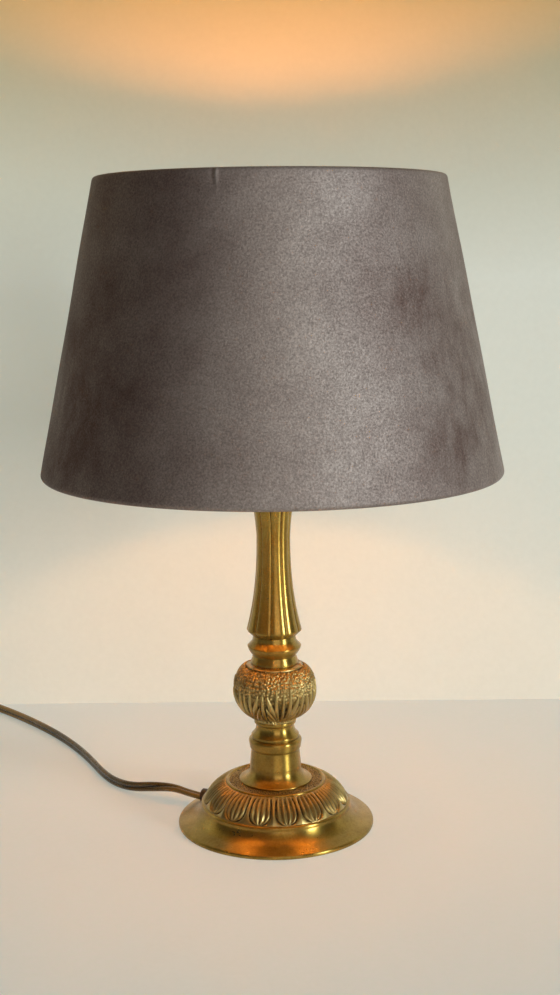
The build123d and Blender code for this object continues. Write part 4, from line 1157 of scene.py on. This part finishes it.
def shade_section(bottom, top, thick, hem, roll):
    """The velvet's outer line, rolled over both rims, and its inner line: (radius, height) points in mm."""
    wide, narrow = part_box("velvet_cover")[1][0] / MM, 92.6
    glued = 2.0
    slope = atan2(wide - narrow, top - bottom)
    up = np.array([-sin(slope), cos(slope)])
    out = np.array([cos(slope), sin(slope)])

    def on_wall(height):
        return np.array([wide - (height - bottom) * (wide - narrow) / (top - bottom), height])

    first = on_wall(bottom + roll + roll * sin(slope)) - roll * out
    last = on_wall(top - roll + roll * sin(slope)) - roll * out
    turns = np.linspace(0, pi, 13)[:, None]
    inner_low = first + hem * up + out * (roll - glued)
    inner_high = last - hem * up + out * (roll - glued)
    low_roll = first + roll * (-out * np.cos(turns) - up * np.sin(turns))
    wall = low_roll[-1] + np.linspace(0, 1, 64)[1:-1, None] * (last + roll * out - low_roll[-1])
    high_roll = last + roll * (out * np.cos(turns) + up * np.sin(turns))
    hem_share = np.linspace(0, 1, 7)[:-1, None]
    path = np.concatenate([inner_low + hem_share * (low_roll[0] - inner_low), low_roll, wall, high_roll,
                           high_roll[-1] + (1 - hem_share[::-1]) * (inner_high - high_roll[-1])])
    return path, path - outward_normals(path) * thick


def near_front(angle, degrees, wide):
    """A hump of some width round an angle counted from the front, both in degrees."""
    return bump((angle - FRONT - radians(degrees) + pi) % tau - pi, 0.0, radians(wide))


def brush_marks(angle, height):
    """How the nap's tone runs round the shade, with painted light on the side towards the front, and where a
    hand has brushed it dark.
    """
    # Degrees from the front and width in degrees, then strength; the first, at the front, is painted light,
    # the others the nap's own tone
    nap_and_painted_light_bumps = ((5, 28, 1.0), (64, 22, 0.5), (122, 34, 1.0), (-118, 30, 1.0))
    # Degrees from the front, height in millimetres, then width in degrees and height of the mark
    swipes = ((56, 228, 20, 40), (46, 292, 15, 34), (70, 270, 14, 50), (-58, 240, 16, 40),
              (-120, 290, 18, 40), (150, 230, 20, 38), (178, 310, 16, 32), (105, 280, 15, 46))
    combed_and_painted_light = sum(share * near_front(angle, at, wide) for at, wide, share in nap_and_painted_light_bumps)
    brushed = sum(near_front(angle, at, wide) * bump(height, up, tall) for at, up, wide, tall in swipes)
    return combed_and_painted_light, brushed


def shade_angles(seam, crease_at):
    """Angles of the velvet's columns: even all round, closer at the seam and the crease."""
    even = np.linspace(0, tau, 240, endpoint=False)
    near_seam = seam + np.radians(np.arange(-3, 9, 0.35))
    near_crease = crease_at + np.radians(np.arange(-3, 3, 0.25))
    return np.unique(np.round(np.concatenate([even, near_seam, near_crease]), 5))


def seam_lap(off_seam):
    """How far the velvet's lap stands out beside its seam, in mm."""
    thickness, step, flat_until, gone_at = 0.7, 1.2, 8.0, 14.0
    return thickness * rise(off_seam, 0.0, step) * (1 - rise(off_seam, flat_until, gone_at))


def crease_fold(off_crease, drop):
    """How strong the crease under the top rim is, and its raised fold with a dip beside it, in mm."""
    full_until, gone_at, half_wide = 3.0, 12.0, 6.0
    strength = (1 - rise(drop, full_until, gone_at)) * (1 - rise(np.abs(off_crease), 0.0, half_wide))
    return strength, strength * (0.55 * bump(off_crease, 0.0, 0.9) - 0.35 * bump(off_crease, -2.4, 1.6))


def cloth_slack(angle, height, bottom, top):
    """Slow ripples of the cloth between its rims, in mm."""
    held = 12
    ripples = 0.10 * np.sin(5 * angle + height * 0.05) + 0.07 * np.sin(13 * angle - height * 0.11)
    return ripples * rise(height - bottom, 0, held) * (1 - rise(height, top - held, top))


class LAMP_OT_shade(bpy.types.Operator):
    """Stretch the velvet over the shade's rims, with its seam, its crease and its brush marks"""

    bl_idname = "lamp.shade"
    bl_label = "Shade"

    def execute(self, context):
        settings = context.scene.lamp_shade
        bottom, top = low("velvet_cover"), high("velvet_cover")
        path, back = shade_section(bottom, top, settings.cloth_thickness / MM, settings.hem / MM,
                                   settings.roll / MM)
        seam, crease_at = radians(90), (FRONT + radians(-15)) % tau
        angle = shade_angles(seam, crease_at)
        section = np.concatenate([path, back[::-1]])
        radius, height = section[:, :1], section[:, 1:]
        waver = 0.5 * np.sin((top - height) * 0.55)
        off_crease = (angle - crease_at) * radius + waver
        strength, fold = crease_fold(off_crease, top - height)
        lap = seam_lap((angle - seam) * radius)
        slack = cloth_slack(angle, height, bottom, top)
        to_rim = np.minimum(height - bottom, top - height) + 0 * angle
        outer = (np.arange(len(section)) < len(path))[:, None]
        combed_and_painted_light, brushed = brush_marks(angle, height)
        marks = {
            "lay": outer * combed_and_painted_light,
            "brushed": outer * brushed,
            "crease": outer * strength * bump(off_crease, 0.0, 0.8) * 0.6,
            "rim": outer * bump(to_rim, 0.6, 1.5),
        }
        cover = mesh_object("velvet", around(radius + lap + fold + slack, height, angle),
                            grid_faces(len(section), len(angle), True, True), marks)
        weld(cover)
        finished(cover, "shade", velvet_material(settings), ("velvet_cover",))
        return {"FINISHED"}


# Materials of the CAD nodes that keep their own shapes

class LAMP_OT_fittings(bpy.types.Operator):
    """Give the switch, the plug, the frame and the inner fittings their materials"""

    bl_idname = "lamp.fittings"
    bl_label = "Fittings"

    def execute(self, context):
        shade = context.scene.lamp_shade
        moulding = tuple(context.scene.lamp_flex.moulding)
        darker = dimmed(moulding, 0.6)
        finishes = {
            "brass": polished_brass(context.scene.lamp_brass),
            "holder_plastic": holder_plastic(),
            "bulb_metal": bulb_metal(),
            "filament": filament_material(shade),
            "lining": lining_material(shade),
        }
        for slot, name in (("bulb_glass", "Bulb glass"), ("flex", "Flex insulation"), ("felt", "Felt"),
                           ("velvet", "Velvet")):
            finishes[slot] = bpy.data.materials[name]
        # Name, colour, darker colour, roughness; then grain and coat where they are its own
        plastics = {
            "bush_plastic": ("Bush plastic", (0.12, 0.080, 0.035), (0.06, 0.038, 0.015), 0.35),
            "holder_core": ("Holder core", (0.80, 0.77, 0.70), (0.66, 0.62, 0.54), 0.4),
            "lead_plastic": ("Lead insulation", (0.35, 0.24, 0.10), (0.24, 0.16, 0.06), 0.4),
            "bulb_insulator": ("Bulb insulator", (0.03, 0.03, 0.034), (0.012, 0.012, 0.014), 0.15),
            "frame_wire": ("Coated wire", (0.78, 0.75, 0.68), (0.60, 0.56, 0.48), 0.4),
            "tie": ("Tie", (0.03, 0.03, 0.032), (0.014, 0.014, 0.015), 0.4),
            "switch_plastic": ("Switch moulding", moulding, darker, 0.32, 0.25, 0.2),
            "plug_plastic": ("Plug moulding", moulding, darker, 0.36, 0.3, 0.1),
        }
        platings = {
            "steel": ("Zinc plate", (0.56, 0.56, 0.54), (0.36, 0.36, 0.35), 0.35),
            "contact_brass": ("Contact brass", (0.66, 0.48, 0.19), (0.46, 0.32, 0.12), 0.3),
            "plug_metal": ("Nickel plate", (0.70, 0.67, 0.62), (0.50, 0.48, 0.44), 0.22),
        }
        finishes.update((slot, plastic_material(*look)) for slot, look in plastics.items())
        finishes.update((slot, plated_material(*look)) for slot, look in platings.items())
        for part in frame["record"]["subparts"]:
            shown = frame["nodes"][part["node"]]
            for place in shown.material_slots:
                place.material = finishes[part["material_slot"]]
        frame["nodes"]["bulb_stem"].visible_shadow = False
        return {"FINISHED"}


# Stage

class LAMP_OT_stage(bpy.types.Operator):
    """Set the table, the wall and the light"""

    bl_idname = "lamp.stage"
    bl_label = "Stage"

    def execute(self, context):
        settings = context.scene.lamp_stage
        reach, wall_half, wall_high, y = 2.4, 1.6, 1.5, settings.wall_place
        turns = np.linspace(0, tau, 96, endpoint=False)
        rim = [(reach * cos(turn), reach * sin(turn), 0.0) for turn in turns]
        table = mesh_object("table_top", rim, [list(range(len(rim)))])
        wall = mesh_object("wall", [(-wall_half, y, 0.0), (wall_half, y, 0.0), (wall_half, y, wall_high),
                                    (-wall_half, y, wall_high)], [[0, 1, 2, 3]])
        for made, base, glow in ((table, settings.table, settings.table_glow),
                                 (wall, settings.wall, settings.wall_glow)):
            paint = plaster_material("Painted " + made.name, tuple(base), tuple(glow), made is wall)
            made.data.materials.append(paint)
        middle = Vector((0.0, 0.0, 0.17))
        for name, place, wide, tall, strength, tint in (
            ("Window", (3.956, -2.770, 0.95), 0.8, 1.8, settings.window, (0.85, 0.97, 1.0)),
            ("Room", (1.004, -4.724, 1.464), 3.0, 2.5, settings.room, (1.0, 0.88, 0.78)),
        ):
            made = new_light(name, "AREA", shape="RECTANGLE", size=wide, size_y=tall, energy=strength,
                             color=tint)
            aim = (middle - Vector(place)).to_track_quat("-Z", "Y")
            made.matrix_world = Matrix.Translation(place) @ aim.to_matrix().to_4x4()
        world = context.scene.world or bpy.data.worlds.new("World")
        context.scene.world = world
        world.use_nodes = True
        sky = world.node_tree.nodes["Background"]
        sky.inputs["Color"].default_value = (0.93, 0.91, 0.87, 1.0)
        sky.inputs["Strength"].default_value = settings.fill
        context.scene.view_settings.view_transform = "Standard"
        return {"FINISHED"}


class LAMP_PT_panel(bpy.types.Panel):
    """Lists the lamp's pieces and settings"""

    bl_idname = "LAMP_PT_panel"
    bl_label = "Brass table lamp"
    bl_space_type = "VIEW_3D"
    bl_region_type = "UI"
    bl_category = "Lamp"

    def draw(self, context):
        for operator in OPERATORS:
            self.layout.operator(operator.bl_idname)
        for key in SETTINGS:
            group = getattr(context.scene, key)
            box = self.layout.box()
            for name in group.bl_rna.properties.keys():
                if name not in ("rna_type", "name"):
                    box.prop(group, name)


SETTINGS = {
    "lamp_brass": LAMP_PG_brass, "lamp_shade": LAMP_PG_shade,
    "lamp_flex": LAMP_PG_flex, "lamp_stage": LAMP_PG_stage,
}
OPERATORS = (
    LAMP_OT_camera, LAMP_OT_flex, LAMP_OT_foot, LAMP_OT_stem, LAMP_OT_holder, LAMP_OT_bulb, LAMP_OT_shade,
    LAMP_OT_fittings, LAMP_OT_stage,
)


def register():
    for made in (*SETTINGS.values(), *OPERATORS, LAMP_PT_panel):
        bpy.utils.register_class(made)
    for key, group in SETTINGS.items():
        setattr(bpy.types.Scene, key, PointerProperty(type=group))


def unregister():
    for key in SETTINGS:
        delattr(bpy.types.Scene, key)
    for made in (LAMP_PT_panel, *reversed(OPERATORS), *SETTINGS.values()):
        bpy.utils.unregister_class(made)


def main():
    register()
    bpy.ops.lamp.camera()
    bpy.ops.lamp.flex()
    bpy.ops.lamp.foot()
    bpy.ops.lamp.stem()
    bpy.ops.lamp.holder()
    bpy.ops.lamp.bulb()
    bpy.ops.lamp.shade()
    bpy.ops.lamp.fittings()
    bpy.ops.lamp.stage()


if __name__ == "__main__":
    main()
